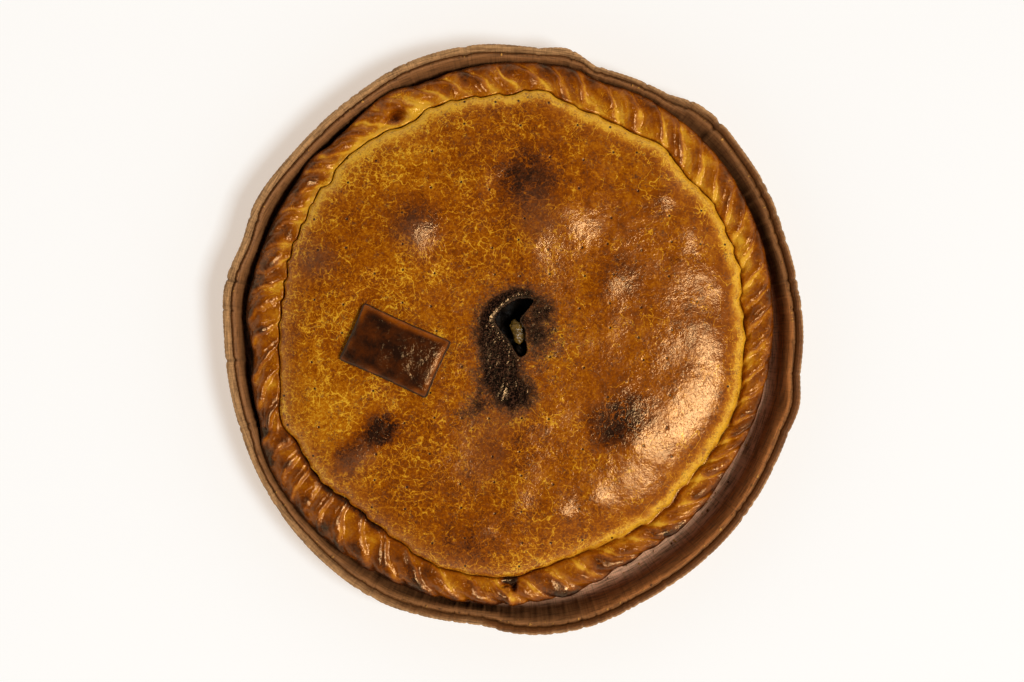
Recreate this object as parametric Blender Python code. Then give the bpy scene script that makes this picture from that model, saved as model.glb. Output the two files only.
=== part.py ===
"""Round cuttlefish empanada in its pressed-paper baking mould. Metres, +Z up.

The origin is under the middle of the mould, on the surface that it stands on. Angles are in degrees,
anticlockwise from +X as seen from above. Five pieces: the mould, the bottom crust with its twisted
border, the filling, the lid with its torn steam vent, and the dough tag baked onto the lid.
"""

import math

import bmesh
import bpy
from mathutils import Matrix, Vector
from mathutils.bvhtree import BVHTree

MM = 0.001

# Driving dimensions
MOULD_RADIUS = 150 * MM
MOULD_HEIGHT = 27 * MM
MOULD_FLOOR_RADIUS = 138 * MM
PAPER = 1.0 * MM
PIE_RADIUS = 137 * MM
LID_RADIUS = 121 * MM
BORDER_TOP = 30 * MM
CROWN_TOP = 39.5 * MM
LID_THICKNESS = 4.2 * MM
BOTTOM_CRUST = 5 * MM
LEDGE_HEIGHT = 24.2 * MM
LEDGE_WIDTH = 3.2 * MM
TAG_LENGTH = 49 * MM
TAG_WIDTH = 32 * MM
TAG_THICKNESS = 5 * MM

# Gaps between pieces that touch in the real pie
TOUCH_GAP = 0.3 * MM
SEAM_GAP = 0.8 * MM
WALL_GAP = 1.2 * MM
LID_GAP = 0.5 * MM
FILLING_INSET = 5.0 * MM

# Twisted border
LOBES = 62
POINTS_A_LOBE = 3
LOBE_SLANT = 1.0
LOBE_DEPTH = 2.4 * MM
LOBE_SIDE_DEPTH = 1.5 * MM

SECTORS = 90

# How far each outline departs from its circle, in millimetres, at each angle in degrees
MOULD_DENTS = {
    0: -0.6, 20: -0.4, 30: 1.9, 40: 3.2, 47: 4.7, 52: 3.7, 57: -0.4, 63: -1.7, 73: -2.9,
    79: 1.8, 85: 0.2, 97: 2.2, 113: 1.6, 120: -0.4, 138: -2.3, 152: -0.6, 160: -2.7, 169: 0.0,
    180: -2.4, 197: -3.2, 215: -1.7, 230: -0.3, 243: 0.6, 257: -1.9, 264: -2.4, 270: 0.6,
    277: 2.4, 287: 2.4, 297: 0.4, 320: -0.1, 340: -0.5, 347: 1.3, 353: -1.0,
}
PIE_DENTS = {
    0: -3.0, 10: -1.5, 20: 0.7, 30: 2.4, 40: 4.3, 55: 5.2, 70: 5.2, 80: 6.0, 92: 5.3, 100: 4.3,
    110: 2.4, 116: 4.9, 125: 1.7, 133: -0.2, 138: 1.7, 144: 0.1, 165: -0.4, 175: 0.1, 183: -3.8,
    190: -1.2, 198: -0.6, 204: 3.1, 215: 4.3, 240: 2.6, 260: 0.4, 268: -0.2, 283: -2.0,
    290: -4.7, 296: -7.2, 318: -6.3, 328: -7.8, 340: -6.1, 350: -4.8,
}
SEAM_DENTS = {
    0: -1.5, 10: -2.1, 15: 0.7, 25: 1.5, 35: 3.0, 43: 1.1, 53: 4.3, 58: 1.8, 70: 1.5, 76: 2.8,
    84: 7.4, 90: 4.3, 110: 4.3, 115: 1.1, 122: 3.3, 135: 4.3, 139: 1.5, 142: 3.3, 150: 1.1,
    160: 0.2, 165: -1.5, 175: -2.1, 190: -0.8, 200: 4.3, 205: 1.1, 217: 0.5, 225: -3.4,
    240: -2.7, 250: 0.7, 258: 1.1, 270: 0.5, 278: -3.4, 287: -5.9, 300: -5.4, 310: -4.0,
    320: -5.3, 330: -3.6, 345: -1.1, 355: -2.3,
}
# Hand-twisted lobes run ahead of even spacing by this many lobes
LOBE_DRIFT = {
    0: 0.0, 47: 0.24, 95: 0.0, 138: 0.57, 178: 1.7, 205: 1.1, 227: 2.2, 262: 1.3, 287: 0.9,
    308: 0.2, 329: -0.33, 354: 0.1,
}
# The lid stands free of the border where the filling has pushed it up, in millimetres
SEAM_SINK = {0: 2.4, 30: 1.4, 60: 0.8, 120: 0.0, 170: 0.4, 210: 1.2, 235: 1.2, 265: 1.4, 300: 3.0, 335: 3.0}

# Blisters that the steam raised in the lid: x, y, radius and height in millimetres
BLISTERS = (
    (9, 80, 19, 2.4), (-50, 58, 16, 2.4), (-99, 38, 12, 1.3), (51, 33, 12, 1.3),
    (73, 68, 11, 1.3), (90, 45, 11, 1.1), (56, -42, 20, 2.7), (30, -87, 15, 1.5),
    (-21, -102, 17, 1.9), (-82, -60, 12, 1.4), (40, 58, 16, 1.5), (-108, 5, 13, 0.9),
    (-37, -66, 18, 1.1), (4, -56, 16, 1.3), (75, -71, 16, 1.3),
)
# Torn steam vent in the lid, whose tongue of crust points to -X, in millimetres
VENT_OUTLINE = (
    (9.6, 20.4), (2.8, 20.2), (-3.4, 16.6), (-7.6, 12.4), (-8.3, 9.3), (-5.5, 4.6), (-1.3, -0.6),
    (1.8, -6.2), (4.4, -8.8), (7.5, -6.2), (6.8, 0.0), (6.3, 5.1), (3.9, 10.3), (10.1, 17.6),
)
# Pieces of filling under the vent: x, y, turn in degrees, length, width, height and top in millimetres
MORSELS = (
    (2.6, 4.0, -62, 13, 7, 8, 34.6), (-4.0, 11.0, 35, 11, 8, 8, 30.5), (5.5, 17.5, 20, 10, 8, 7, 30.0),
    (4.0, -6.0, -50, 9, 7, 7, 31.0), (9.5, 2.0, 10, 9, 8, 8, 29.5),
)
TAG_PLACE = (-59.2, -5.6)
TAG_TURN = -24.1


# Outlines

def around(departures, angle):
    """Smooth closed curve through the departures, read at an angle in degrees."""
    stops = sorted(departures)
    count = len(stops)
    angle %= 360
    after = sum(stop <= angle for stop in stops)
    places = [stops[i % count] + 360 * (i // count) for i in range(after - 2, after + 2)]
    heights = [departures[stops[i % count]] for i in range(after - 2, after + 2)]
    if places[1] > angle:
        angle += 360
    span = places[2] - places[1]
    share = (angle - places[1]) / span
    slope_in = span * (heights[2] - heights[0]) / (places[2] - places[0])
    slope_out = span * (heights[3] - heights[1]) / (places[3] - places[1])
    return (
        (2 * share**3 - 3 * share**2 + 1) * heights[1]
        + (share**3 - 2 * share**2 + share) * slope_in
        + (3 * share**2 - 2 * share**3) * heights[2]
        + (share**3 - share**2) * slope_out
    )


def mould_edge(angle):
    return MOULD_RADIUS + around(MOULD_DENTS, angle) * MM


def rim_band(angle):
    """Width of the mould's rim, which narrows where the dough presses on it."""
    free = mould_edge(angle) - PIE_RADIUS - around(PIE_DENTS, angle) * MM - WALL_GAP
    return min(7.2 * MM, max(5.3 * MM, free))


def wall_top(angle):
    return mould_edge(angle) - rim_band(angle)


def pie_edge(angle):
    return min(PIE_RADIUS + around(PIE_DENTS, angle) * MM, wall_top(angle) - WALL_GAP)


def seam_edge(angle):
    return LID_RADIUS + around(SEAM_DENTS, angle) * MM


def lobe_angle(turn):
    """Angle at which this many lobes of the border have passed."""
    angle = 360 * turn / LOBES
    for _ in range(16):
        angle = 360 * (turn - around(LOBE_DRIFT, angle)) / LOBES
    return angle


# Meshes

def at(radius, angle, height):
    turn = math.radians(angle)
    return Vector((radius * math.cos(turn), radius * math.sin(turn), height))


def closed_skin(rings):
    """Bmesh of the closed surface through rings of points, with a flat cap on the first and the last."""
    mesh = bmesh.new()
    loops = [[mesh.verts.new(point) for point in ring] for ring in rings]
    for low, high in zip(loops, loops[1:]):
        for i in range(len(low)):
            mesh.faces.new((low[i - 1], low[i], high[i], high[i - 1]))
    mesh.faces.new(reversed(loops[0]))
    mesh.faces.new(loops[-1])
    bmesh.ops.triangulate(mesh, faces=[face for face in mesh.faces if len(face.verts) == 4])
    bmesh.ops.recalc_face_normals(mesh, faces=mesh.faces)
    return mesh


def finish(bm, name, material, smooth=60):
    """Object of the bmesh, shaded smooth up to an angle, in the scene and under the empanada's empty."""
    mesh = bpy.data.meshes.new(name)
    bm.to_mesh(mesh)
    bm.free()
    mesh.shade_smooth()
    mesh.set_sharp_from_angle(angle=math.radians(smooth))
    mesh.materials.append(material)
    piece = bpy.data.objects.new(name, mesh)
    bpy.context.scene.collection.objects.link(piece)
    return piece


def surface(name, colour, roughness, coat=0.0):
    """Principled material of one colour."""
    material = bpy.data.materials.new(name)
    material.use_nodes = True
    shader = material.node_tree.nodes["Principled BSDF"]
    shader.inputs["Base Color"].default_value = (*colour, 1.0)
    shader.inputs["Roughness"].default_value = roughness
    shader.inputs["Metallic"].default_value = 0.0
    shader.inputs["Coat Weight"].default_value = coat
    material.diffuse_color = (*colour, 1.0)
    return material


# Paper mould

def mould_profile(angle):
    """Radius and height along the paper's inner face at one angle, from the floor to the turned-down lip."""
    edge = mould_edge(angle)
    band = rim_band(angle)
    top = edge - band
    return [
        (MOULD_FLOOR_RADIUS - 5.5 * MM, PAPER),
        (MOULD_FLOOR_RADIUS, PAPER + 2.2 * MM),
        (top, MOULD_HEIGHT - 2.6 * MM),
        (top + 0.22 * band, MOULD_HEIGHT - 0.7 * MM),
        (top + 0.42 * band, MOULD_HEIGHT - 1.9 * MM),
        (top + 0.70 * band, MOULD_HEIGHT),
        (edge, MOULD_HEIGHT - 1.8 * MM),
        (edge - 0.3 * MM, MOULD_HEIGHT - 4.6 * MM),
    ]


def paper_back(profile):
    """The same profile on the paper's other face, one thickness away."""
    back = [(profile[0][0], 0.0)]
    for i in range(1, len(profile)):
        before = Vector(profile[i - 1])
        after = Vector(profile[min(i + 1, len(profile) - 1)])
        run = (after - before).normalized()
        back.append((profile[i][0] + PAPER * run.y, profile[i][1] - PAPER * run.x))
    return back


def make_mould():
    angles = [360 * i / SECTORS for i in range(SECTORS)]
    outlines = [mould_profile(angle) for angle in angles]
    outlines = [outline + paper_back(outline)[::-1] for outline in outlines]
    rings = [
        [at(outline[step][0], angle, outline[step][1]) for outline, angle in zip(outlines, angles)]
        for step in range(len(outlines[0]))
    ]
    paper = surface("baking_paper_board", (0.19, 0.085, 0.03), 0.72)
    return finish(closed_skin(rings), "paper_mould", paper, smooth=50)


# Bottom crust with the twisted border

def lobe_swell(share):
    """Height of a lobe across its width, from 0 in the groove to 1 on its back."""
    return math.sin(math.pi * share**0.85) ** 0.7


def border_section(angle, swell):
    """Radius, height and slant along the bottom crust's outline at one angle, from its foot to its cavity."""
    edge = pie_edge(angle)
    seam = seam_edge(angle)
    middle = (edge + seam) / 2
    low = PAPER + TOUCH_GAP
    bend = BORDER_TOP - 6.5 * MM
    half_width = (edge - seam) / 2 - LOBE_SIDE_DEPTH * (1 - swell)
    rise = BORDER_TOP - bend - LOBE_DEPTH * (1 - swell)
    foot = MOULD_FLOOR_RADIUS - WALL_GAP
    ledge = LEDGE_HEIGHT
    section = [
        (min(edge - 6.0 * MM, foot - 5.5 * MM), low, 0.0),
        (min(edge - 3.6 * MM, foot), low + 3.0 * MM, 0.0),
        (min(edge - 2.4 * MM, foot + 1.2 * MM), bend - 6.5 * MM, 0.0),
    ]
    leans = (-30, 8, 45, 80, 115, 150)
    for step, lean in enumerate(leans):
        section.append((
            middle + half_width * math.cos(math.radians(lean)),
            bend + rise * math.sin(math.radians(lean)),
            LOBE_SLANT * step / len(leans),
        ))
    section += [
        (seam + 0.25 * LOBE_SIDE_DEPTH * (1 - swell), ledge + 1.6 * MM, LOBE_SLANT),
        (seam, ledge, LOBE_SLANT),
        (seam - LEDGE_WIDTH, ledge, LOBE_SLANT),
        (seam - LEDGE_WIDTH - 0.8 * MM, low + BOTTOM_CRUST, LOBE_SLANT),
    ]
    return section


def make_bottom_crust():
    """One closed skin whose points follow the slanted grooves between the lobes."""
    count = LOBES * POINTS_A_LOBE
    steps = len(border_section(0, 1))
    rings = []
    for step in range(steps):
        slant = border_section(0, 1)[step][2]
        ring = []
        for i in range(count):
            angle = lobe_angle(i / POINTS_A_LOBE - slant)
            swell = lobe_swell((i % POINTS_A_LOBE) / POINTS_A_LOBE)
            radius, height, _ = border_section(angle, swell)[step]
            ring.append(at(radius, angle, height))
        rings.append(ring)
    crust = surface("glazed_border_crust", (0.27, 0.09, 0.012), 0.38, coat=0.2)
    return finish(closed_skin(rings), "bottom_crust", crust, smooth=55)


# Lid

def blister_rise(x, y):
    rise = 0.0
    for place_x, place_y, radius, height in BLISTERS:
        away = math.hypot(x - place_x * MM, y - place_y * MM) / (radius * MM)
        rise += height * MM * math.exp(-1.6 * away**2)
    return rise


def lid_edge_height(angle):
    return BORDER_TOP - 1.2 * MM - around(SEAM_SINK, angle) * MM


def lid_top(share, angle):
    """Height of the lid's upper face at a share of the way from its middle to its edge."""
    edge = lid_edge_height(angle)
    dome = edge + (CROWN_TOP - edge) * (1 - share**3.2) ** 0.5
    place = at(share * (seam_edge(angle) - SEAM_GAP), angle, 0)
    return dome + blister_rise(place.x, place.y) * (1 - share**8)


def lid_under(share):
    """Height of the lid's underside, a plain dome that lies on the bottom crust's ledge at its edge."""
    rest = LEDGE_HEIGHT + 0.1 * MM + TOUCH_GAP
    crown = CROWN_TOP - LID_THICKNESS
    return rest + (crown - rest) * (1 - share**3) ** 0.6


def make_vent_cutter():
    """Prism through the lid in the outline of the torn vent. It only cuts, and isn't part of the pie."""
    mesh = bmesh.new()
    low = [mesh.verts.new((x * MM, y * MM, 20 * MM)) for x, y in VENT_OUTLINE]
    base = mesh.faces.new(low)
    raised = bmesh.ops.extrude_face_region(mesh, geom=[base])["geom"]
    top = [item for item in raised if isinstance(item, bmesh.types.BMVert)]
    bmesh.ops.translate(mesh, verts=top, vec=(0, 0, 30 * MM))
    bmesh.ops.recalc_face_normals(mesh, faces=mesh.faces)
    cutter = finish(mesh, "vent_cutter", surface("cutter", (0.5, 0.5, 0.5), 0.5))
    cutter.hide_render = True
    cutter.display_type = "WIRE"
    return cutter


def make_lid(cutter):
    angles = [360 * i / SECTORS for i in range(SECTORS)]
    upper = (0.06, 0.13, 0.2, 0.27, 0.34, 0.41, 0.48, 0.55, 0.62, 0.69, 0.76, 0.83, 0.89, 0.94, 0.975, 1.0)
    lower = (1.0, 0.955, 0.88, 0.6, 0.3, 0.06)

    def ring(share, height_of):
        return [at(share * (seam_edge(a) - SEAM_GAP), a, height_of(share, a)) for a in angles]

    rings = [ring(share, lid_top) for share in upper]
    rings += [ring(share, lambda s, a: lid_under(s if s < 0.95 else 1.0)) for share in lower]
    glaze = surface("glazed_lid_crust", (0.27, 0.075, 0.006), 0.35, coat=0.25)
    lid = finish(closed_skin(rings), "lid", glaze, smooth=50)
    cut = lid.modifiers.new("steam vent", "BOOLEAN")
    cut.operation = "DIFFERENCE"
    cut.object = cutter
    return lid


# Filling

def make_filling():
    """Filled space under the lid, sunk below the vent, with the pieces that show there fused on."""
    angles = [360 * i / SECTORS for i in range(SECTORS)]
    rings = [[at(seam_edge(a) - FILLING_INSET, a, PAPER + TOUCH_GAP + BOTTOM_CRUST + TOUCH_GAP) for a in angles]]
    for share in (0.955, 0.88, 0.6, 0.3, 0.16, 0.06):
        sink = 6.0 * MM * max(0.0, 1 - share / 0.3)
        rings.append([
            at(
                min(share * (seam_edge(a) - SEAM_GAP), seam_edge(a) - FILLING_INSET),
                a,
                lid_under(share if share < 0.95 else 1.0) - LID_GAP - sink,
            )
            for a in angles
        ])
    stew = surface("dark_cuttlefish_filling", (0.02, 0.012, 0.008), 0.3)
    filling = finish(closed_skin(rings), "filling", stew, smooth=50)
    morsels = bpy.data.collections.new("morsels")
    for x, y, turn, length, width, height, top in MORSELS:
        mesh = bmesh.new()
        bmesh.ops.create_cube(mesh, size=1.0)
        bmesh.ops.scale(mesh, verts=mesh.verts, vec=(length * MM, width * MM, height * MM))
        bmesh.ops.bevel(mesh, geom=mesh.edges, offset=1.6 * MM, segments=2, affect="EDGES", profile=0.5)
        place = Matrix.Translation((x * MM, y * MM, (top - height / 2) * MM))
        bmesh.ops.transform(mesh, verts=mesh.verts, matrix=place @ Matrix.Rotation(math.radians(turn), 4, "Z"))
        morsel = finish(mesh, "morsel", stew)
        bpy.context.scene.collection.objects.unlink(morsel)
        morsels.objects.link(morsel)
    fuse = filling.modifiers.new("fused morsels", "BOOLEAN")
    fuse.operation = "UNION"
    fuse.operand_type = "COLLECTION"
    fuse.collection = morsels
    bpy.context.view_layer.objects.active = filling
    bpy.ops.object.modifier_apply(modifier=fuse.name)
    for morsel in list(morsels.objects):
        bpy.data.objects.remove(morsel)
    bpy.data.collections.remove(morsels)
    return filling


# Dough tag

def make_tag(lid):
    """Small pillow of dough laid on the lid, bent to the lid's own surface."""
    mesh = bmesh.new()
    bmesh.ops.create_grid(mesh, x_segments=6, y_segments=4, size=0.5)
    bmesh.ops.scale(mesh, verts=mesh.verts, vec=(TAG_LENGTH, TAG_WIDTH, 1))
    sheet = list(mesh.faces)
    raised = bmesh.ops.extrude_face_region(mesh, geom=sheet)["geom"]
    top = [item for item in raised if isinstance(item, bmesh.types.BMVert)]
    bmesh.ops.translate(mesh, verts=top, vec=(0, 0, TAG_THICKNESS))
    upright = [
        edge for edge in mesh.edges
        if abs(edge.verts[0].co.z - edge.verts[1].co.z) > 0.5 * TAG_THICKNESS
        and abs(abs(edge.verts[0].co.x) - TAG_LENGTH / 2) < MM
        and abs(abs(edge.verts[0].co.y) - TAG_WIDTH / 2) < MM
    ]
    bmesh.ops.bevel(mesh, geom=upright, offset=2.5 * MM, segments=2, affect="EDGES", profile=0.5)
    rim = [
        edge for edge in mesh.edges
        if len(edge.link_faces) == 2
        and min(edge.verts[0].co.z, edge.verts[1].co.z) > 0.5 * TAG_THICKNESS
        and abs(edge.link_faces[0].normal.z - edge.link_faces[1].normal.z) > 0.5
    ]
    bmesh.ops.bevel(mesh, geom=rim, offset=1.8 * MM, segments=2, affect="EDGES", profile=0.6)
    place = Matrix.Translation((TAG_PLACE[0] * MM, TAG_PLACE[1] * MM, 0))
    bmesh.ops.transform(mesh, verts=mesh.verts, matrix=place @ Matrix.Rotation(math.radians(TAG_TURN), 4, "Z"))
    bed = bmesh.new()
    bed.from_mesh(lid.data)
    ground = BVHTree.FromBMesh(bed)
    for vert in mesh.verts:
        hit = ground.ray_cast(Vector((vert.co.x, vert.co.y, 1)), Vector((0, 0, -1)))[0]
        vert.co.z += hit.z + LID_GAP
    bed.free()
    bmesh.ops.triangulate(mesh, faces=mesh.faces)
    bmesh.ops.recalc_face_normals(mesh, faces=mesh.faces)
    return finish(mesh, "dough_tag", surface("dark_glazed_tag", (0.075, 0.022, 0.008), 0.22, coat=0.5))


# Assembly

def middle_of_mould():
    """Middle of the mould's bounding box, which the origin stands under."""
    rim = [at(mould_edge(360 * i / SECTORS), 360 * i / SECTORS, 0) for i in range(SECTORS)]
    across = [point.x for point in rim]
    along = [point.y for point in rim]
    return Vector(((min(across) + max(across)) / 2, (min(along) + max(along)) / 2, 0))


def main():
    for old in list(bpy.data.objects):
        bpy.data.objects.remove(old)
    empanada = bpy.data.objects.new("empanada", None)
    bpy.context.scene.collection.objects.link(empanada)
    cutter = make_vent_cutter()
    lid = make_lid(cutter)
    pieces = [make_mould(), make_bottom_crust(), make_filling(), lid, make_tag(lid), cutter]
    for piece in pieces:
        piece.parent = empanada
    empanada.location = -middle_of_mould()


main()
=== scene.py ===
"""Dresses the cuttlefish empanada: glazed lid, twisted border, torn vent, filling, dough tag and mould.

Metres, +Z up. Angles are in degrees, anticlockwise from +X as seen from above. Every piece is worked out
round the middle of the mould's nominal circle and then set on it with its place in its mesh.
"""
import math

import bpy
import numpy as np
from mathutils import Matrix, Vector


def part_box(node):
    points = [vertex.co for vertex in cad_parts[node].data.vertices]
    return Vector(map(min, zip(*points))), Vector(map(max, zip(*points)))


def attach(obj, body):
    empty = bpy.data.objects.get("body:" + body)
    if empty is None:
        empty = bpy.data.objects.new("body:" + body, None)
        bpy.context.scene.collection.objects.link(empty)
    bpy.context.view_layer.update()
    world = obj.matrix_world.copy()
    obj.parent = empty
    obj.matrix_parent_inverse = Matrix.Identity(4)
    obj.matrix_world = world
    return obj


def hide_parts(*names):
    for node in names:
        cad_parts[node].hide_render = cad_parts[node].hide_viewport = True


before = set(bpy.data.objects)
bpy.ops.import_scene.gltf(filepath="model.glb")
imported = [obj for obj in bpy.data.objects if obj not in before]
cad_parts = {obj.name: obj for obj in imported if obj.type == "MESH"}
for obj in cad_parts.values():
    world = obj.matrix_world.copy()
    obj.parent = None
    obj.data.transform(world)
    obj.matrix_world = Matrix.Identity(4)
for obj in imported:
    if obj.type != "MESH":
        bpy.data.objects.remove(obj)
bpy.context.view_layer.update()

bl_info = {
    "name": "Empanada in its Mould",
    "version": (1, 0, 0),
    "blender": (4, 5, 0),
    "location": "3D View > Sidebar > Empanada",
    "description": "Models a baked round empanada with a twisted border in its paper baking mould",
    "category": "Object",
}

MM = 0.001

# Outlines of the mould, the pie and the lid, in millimetres off their circles at each angle
MOULD_DENTS = {
    0: -0.6, 20: -0.4, 30: 1.9, 40: 3.2, 47: 4.7, 52: 3.7, 57: -0.4, 63: -1.7, 73: -2.9,
    79: 1.8, 85: 0.2, 97: 2.2, 113: 1.6, 120: -0.4, 138: -2.3, 152: -0.6, 160: -2.7, 169: 0.0,
    180: -2.4, 197: -3.2, 215: -1.7, 230: -0.3, 243: 0.6, 257: -1.9, 264: -2.4, 270: 0.6,
    277: 2.4, 287: 2.4, 297: 0.4, 320: -0.1, 340: -0.5, 347: 1.3, 353: -1.0,
}
PIE_DENTS = {
    0: -3.0, 10: -1.5, 20: 0.7, 30: 2.4, 40: 4.3, 55: 5.2, 70: 5.2, 80: 6.0, 92: 5.3, 100: 4.3,
    110: 2.4, 116: 4.9, 125: 1.7, 133: -0.2, 138: 1.7, 144: 0.1, 165: -0.4, 175: 0.1, 183: -3.8,
    190: -1.2, 198: -0.6, 204: 3.1, 215: 4.3, 240: 2.6, 260: 0.4, 268: -0.2, 283: -2.0,
    290: -4.7, 296: -7.2, 318: -6.3, 328: -7.8, 340: -6.1, 350: -4.8,
}
SEAM_DENTS = {
    0: -1.5, 10: -2.1, 15: 0.7, 25: 1.5, 35: 3.0, 43: 1.1, 53: 4.3, 58: 1.8, 70: 1.5, 76: 2.8,
    84: 7.4, 90: 4.3, 110: 4.3, 115: 1.1, 122: 3.3, 135: 4.3, 139: 1.5, 142: 3.3, 150: 1.1,
    160: 0.2, 165: -1.5, 175: -2.1, 190: -0.8, 200: 4.3, 205: 1.1, 217: 0.5, 225: -3.4,
    240: -2.7, 250: 0.7, 258: 1.1, 270: 0.5, 278: -3.4, 287: -5.9, 300: -5.4, 310: -4.0,
    320: -5.3, 330: -3.6, 345: -1.1, 355: -2.3,
}
# Hand-twisted lobes run ahead of even spacing by this many lobes
LOBE_DRIFT = {
    0: 0.0, 47: 0.24, 95: 0.0, 138: 0.57, 178: 1.7, 205: 1.1, 227: 2.2, 262: 1.3, 287: 0.9,
    308: 0.2, 329: -0.33, 354: 0.1,
}
# The lid's edge stands this far below the border's top, in millimetres
SEAM_SINK = {
    0: 3.6, 30: 2.6, 60: 2.0, 120: 1.2, 170: 1.6, 210: 2.4, 235: 2.4, 265: 2.6, 300: 4.2, 335: 4.2,
}

LOBES = 62
CREASES = 70
FLOOR_CRUMBS = 26
RIM_CRUMBS = 60
LEDGE_HEIGHT = 24.2 * MM
LEDGE_WIDTH = 3.2 * MM
BOTTOM_CRUST = 5 * MM
TOUCH_GAP = 0.3 * MM
WALL_GAP = 1.2 * MM
LID_THICKNESS = 4.2 * MM
# A dome of 2 is round, and a higher one is flatter with a steeper edge
DOME_FLATNESS = 5.5

# Blisters that the steam raised in the lid: x, y, radius and height in millimetres
BLISTERS = (
    (9, 82, 15, 1.6), (-52, 57, 16, 3.4), (-99, 38, 12, 1.3), (48, 30, 13, 2.0),
    (78, 76, 12, 3.2), (91, 56, 12, 1.9), (59, -52, 15, 1.7), (24, -88, 14, 2.4),
    (-21, -102, 17, 1.9), (-82, -60, 12, 1.4), (24, 66, 24, 3.6), (-108, 5, 13, 0.9),
    (-37, -66, 18, 1.1), (2, -79, 14, 1.6), (43, -83, 12, 1.9), (-14, 88, 14, 2.2),
    (8, 49, 16, 2.4),
)
# Darker and lighter baked patches of the lid: x, y, two radii in millimetres, turn in degrees, bake
PATCHES = (
    (9, 81, 15, 15, 0, 0.42), (-49, 60, 13, 11, 0, 0.30), (-99, 39, 10, 9, 0, 0.20),
    (54, 33, 11, 11, 0, 0.22), (74, 70, 8, 7, 0, 0.22), (55, -41, 16, 12, 35, 0.50),
    (-67, -46, 9, 8, 20, 0.75), (-82, -58, 11, 7, 45, 0.42), (-21, -103, 15, 12, 0, 0.16),
    (32, -86, 13, 11, 0, 0.10), (2, -56, 20, 10, 15, 0.12), (20, 40, 24, 12, 30, 0.04),
    (-16, 48, 30, 14, 60, 0.02), (-92, -46, 26, 30, 20, -0.17), (-60, 92, 34, 16, 30, -0.08),
    (95, 0, 22, 40, 0, 0.04), (60, 90, 40, 20, -40, -0.04), (-10, 104, 40, 10, 0, 0.02),
    (-40, -80, 40, 18, -15, 0.08), (-45, 25, 30, 18, 20, -0.06), (70, 10, 34, 30, 0, 0.05),
)
# Char round the vent: x, y, two radii in millimetres, turn in degrees, strength
CHAR = (
    (-5, -13, 8, 19, 8, 1.25), (-6, 10, 10, 14, -30, 1.2), (2, 20, 10, 5, 25, 0.9),
    (13, 4, 8, 11, 0, 0.50), (16, 16, 6, 6, 0, 0.45), (-20, -36, 11, 5, 20, 0.45),
    (3, -28, 9, 8, 0, 1.0), (5, 2, 25, 24, 0, 0.30), (-14, -20, 6, 16, -15, 0.5),
)
# Dull brown bloom on some blisters and near the vent, in the same way
HAZE = (
    (-49, 54, 9, 8, 0, 0.5), (-99, 40, 8, 8, 0, 0.45), (13, 62, 10, 18, 20, 0.35),
    (-80, -62, 9, 6, 30, 0.5), (12, 3, 9, 12, 0, 0.35), (-6, -40, 16, 8, 20, 0.3),
    (-14, -60, 12, 14, 0, 0.2),
)
# Hollows and flaps in the border: x, y, two radii in millimetres, turn in degrees, rise in millimetres
HOLLOWS = (
    (-58.6, 113.0, 5.0, 3.0, 25, -5.5), (-50, 118, 7, 3, 22, 0.9), (-1.0, -122.8, 4.0, 1.7, 20, -6.0),
    (0.8, -125.6, 1.4, 3.0, 0, -5.0), (-0.5, -132.5, 1.8, 5.0, 12, 1.1), (-126.7, -47.5, 3.0, 2.4, 20, -2.0),
)
# Their tones: darker above 0 and paler below it; the darker ones, in the hollows, are painted shade, and the
# paler ones are pale dough
STAINS_AND_HOLLOW_SHADE = (
    (-58.6, 113.0, 5.4, 3.2, 25, 0.55), (-49, 117, 8, 2.6, 20, -0.42), (-1.0, -122.8, 4.2, 2.0, 20, 1.0),
    (0.8, -125.4, 1.6, 3.2, 0, 0.9), (-0.5, -132.5, 1.5, 4.5, 12, -0.22), (-126.7, -47.5, 3.2, 2.6, 20, 0.5),
    (-70, 100, 9, 3, 40, -0.25),
)
# The vent's torn edge, in millimetres from the middle of the circle
VENT_OUTLINE = (
    (9.6, 20.4), (2.8, 20.2), (-3.4, 16.6), (-7.6, 12.4), (-8.3, 9.3), (-5.5, 4.6), (-1.3, -0.6),
    (1.8, -6.2), (4.4, -8.8), (7.5, -6.2), (6.8, 0.0), (6.3, 5.1), (3.9, 10.3), (10.1, 17.6),
)
# The tag's middle in millimetres, its turn in degrees, and its sizes
TAG_PLACE = (-59.2, -5.6)
TAG_TURN = -24.1
TAG_LENGTH = 49 * MM
TAG_WIDTH = 32 * MM
TAG_THICKNESS = 5.4 * MM

# Tones that keep still when a user changes the colours of the dough and of the paper
GLAZE_SHINE = (1.0, 0.63, 0.30)
BLOOM = (0.17, 0.068, 0.030)
SINGED = ((0.028, 0.012, 0.009), (0.21, 0.075, 0.026))
SOOT = ((0.002, 0.001, 0.001), (0.070, 0.028, 0.014))
# Painted shade inside the prick holes
PRICK_HOLE_SHADE = (0.035, 0.010, 0.004)
BARE_DOUGH = ((0.17, 0.066, 0.028), (0.085, 0.034, 0.018))
INK = ((0.003, 0.002, 0.0015), (0.012, 0.007, 0.003))
CRUMB_TONES = ((0.10, 0.035, 0.012), (0.62, 0.29, 0.06))
CRUST_DUST = (0.27, 0.12, 0.036)
CRUST_SPECKS = (0.62, 0.30, 0.06)
PAPER_WALL = (0.32, 0.13, 0.045)
# Lit wall: painted light on the mould's inside wall at the lower right
PAPER_WALL_LIT = (0.60, 0.20, 0.05)
# Bright floor: painted light on the mould's floor next to the pie
LIT_FLOOR_TONES = ((0.98, 0.60, 0.38), (0.85, 0.43, 0.24))
PAPER_SHADE = (0.075, 0.032, 0.012)
TABLE_GLOW = (1.0, 0.80, 0.63)

# Where the mould's wall stands, by which streaks in the paper are measured
WALL_REACH = 140 * MM

# The camera's height, and how far it stands below the middle of the circle in the picture
CAMERA_HEIGHT = 1.264
CAMERA_SHIFT = 0.77 * MM

# How finely each piece is divided
MOULD_SECTORS = 1440
BORDER_SECTORS = 1440
LID_SECTORS = 720
FILLING_SECTORS = 240


# Properties

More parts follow.
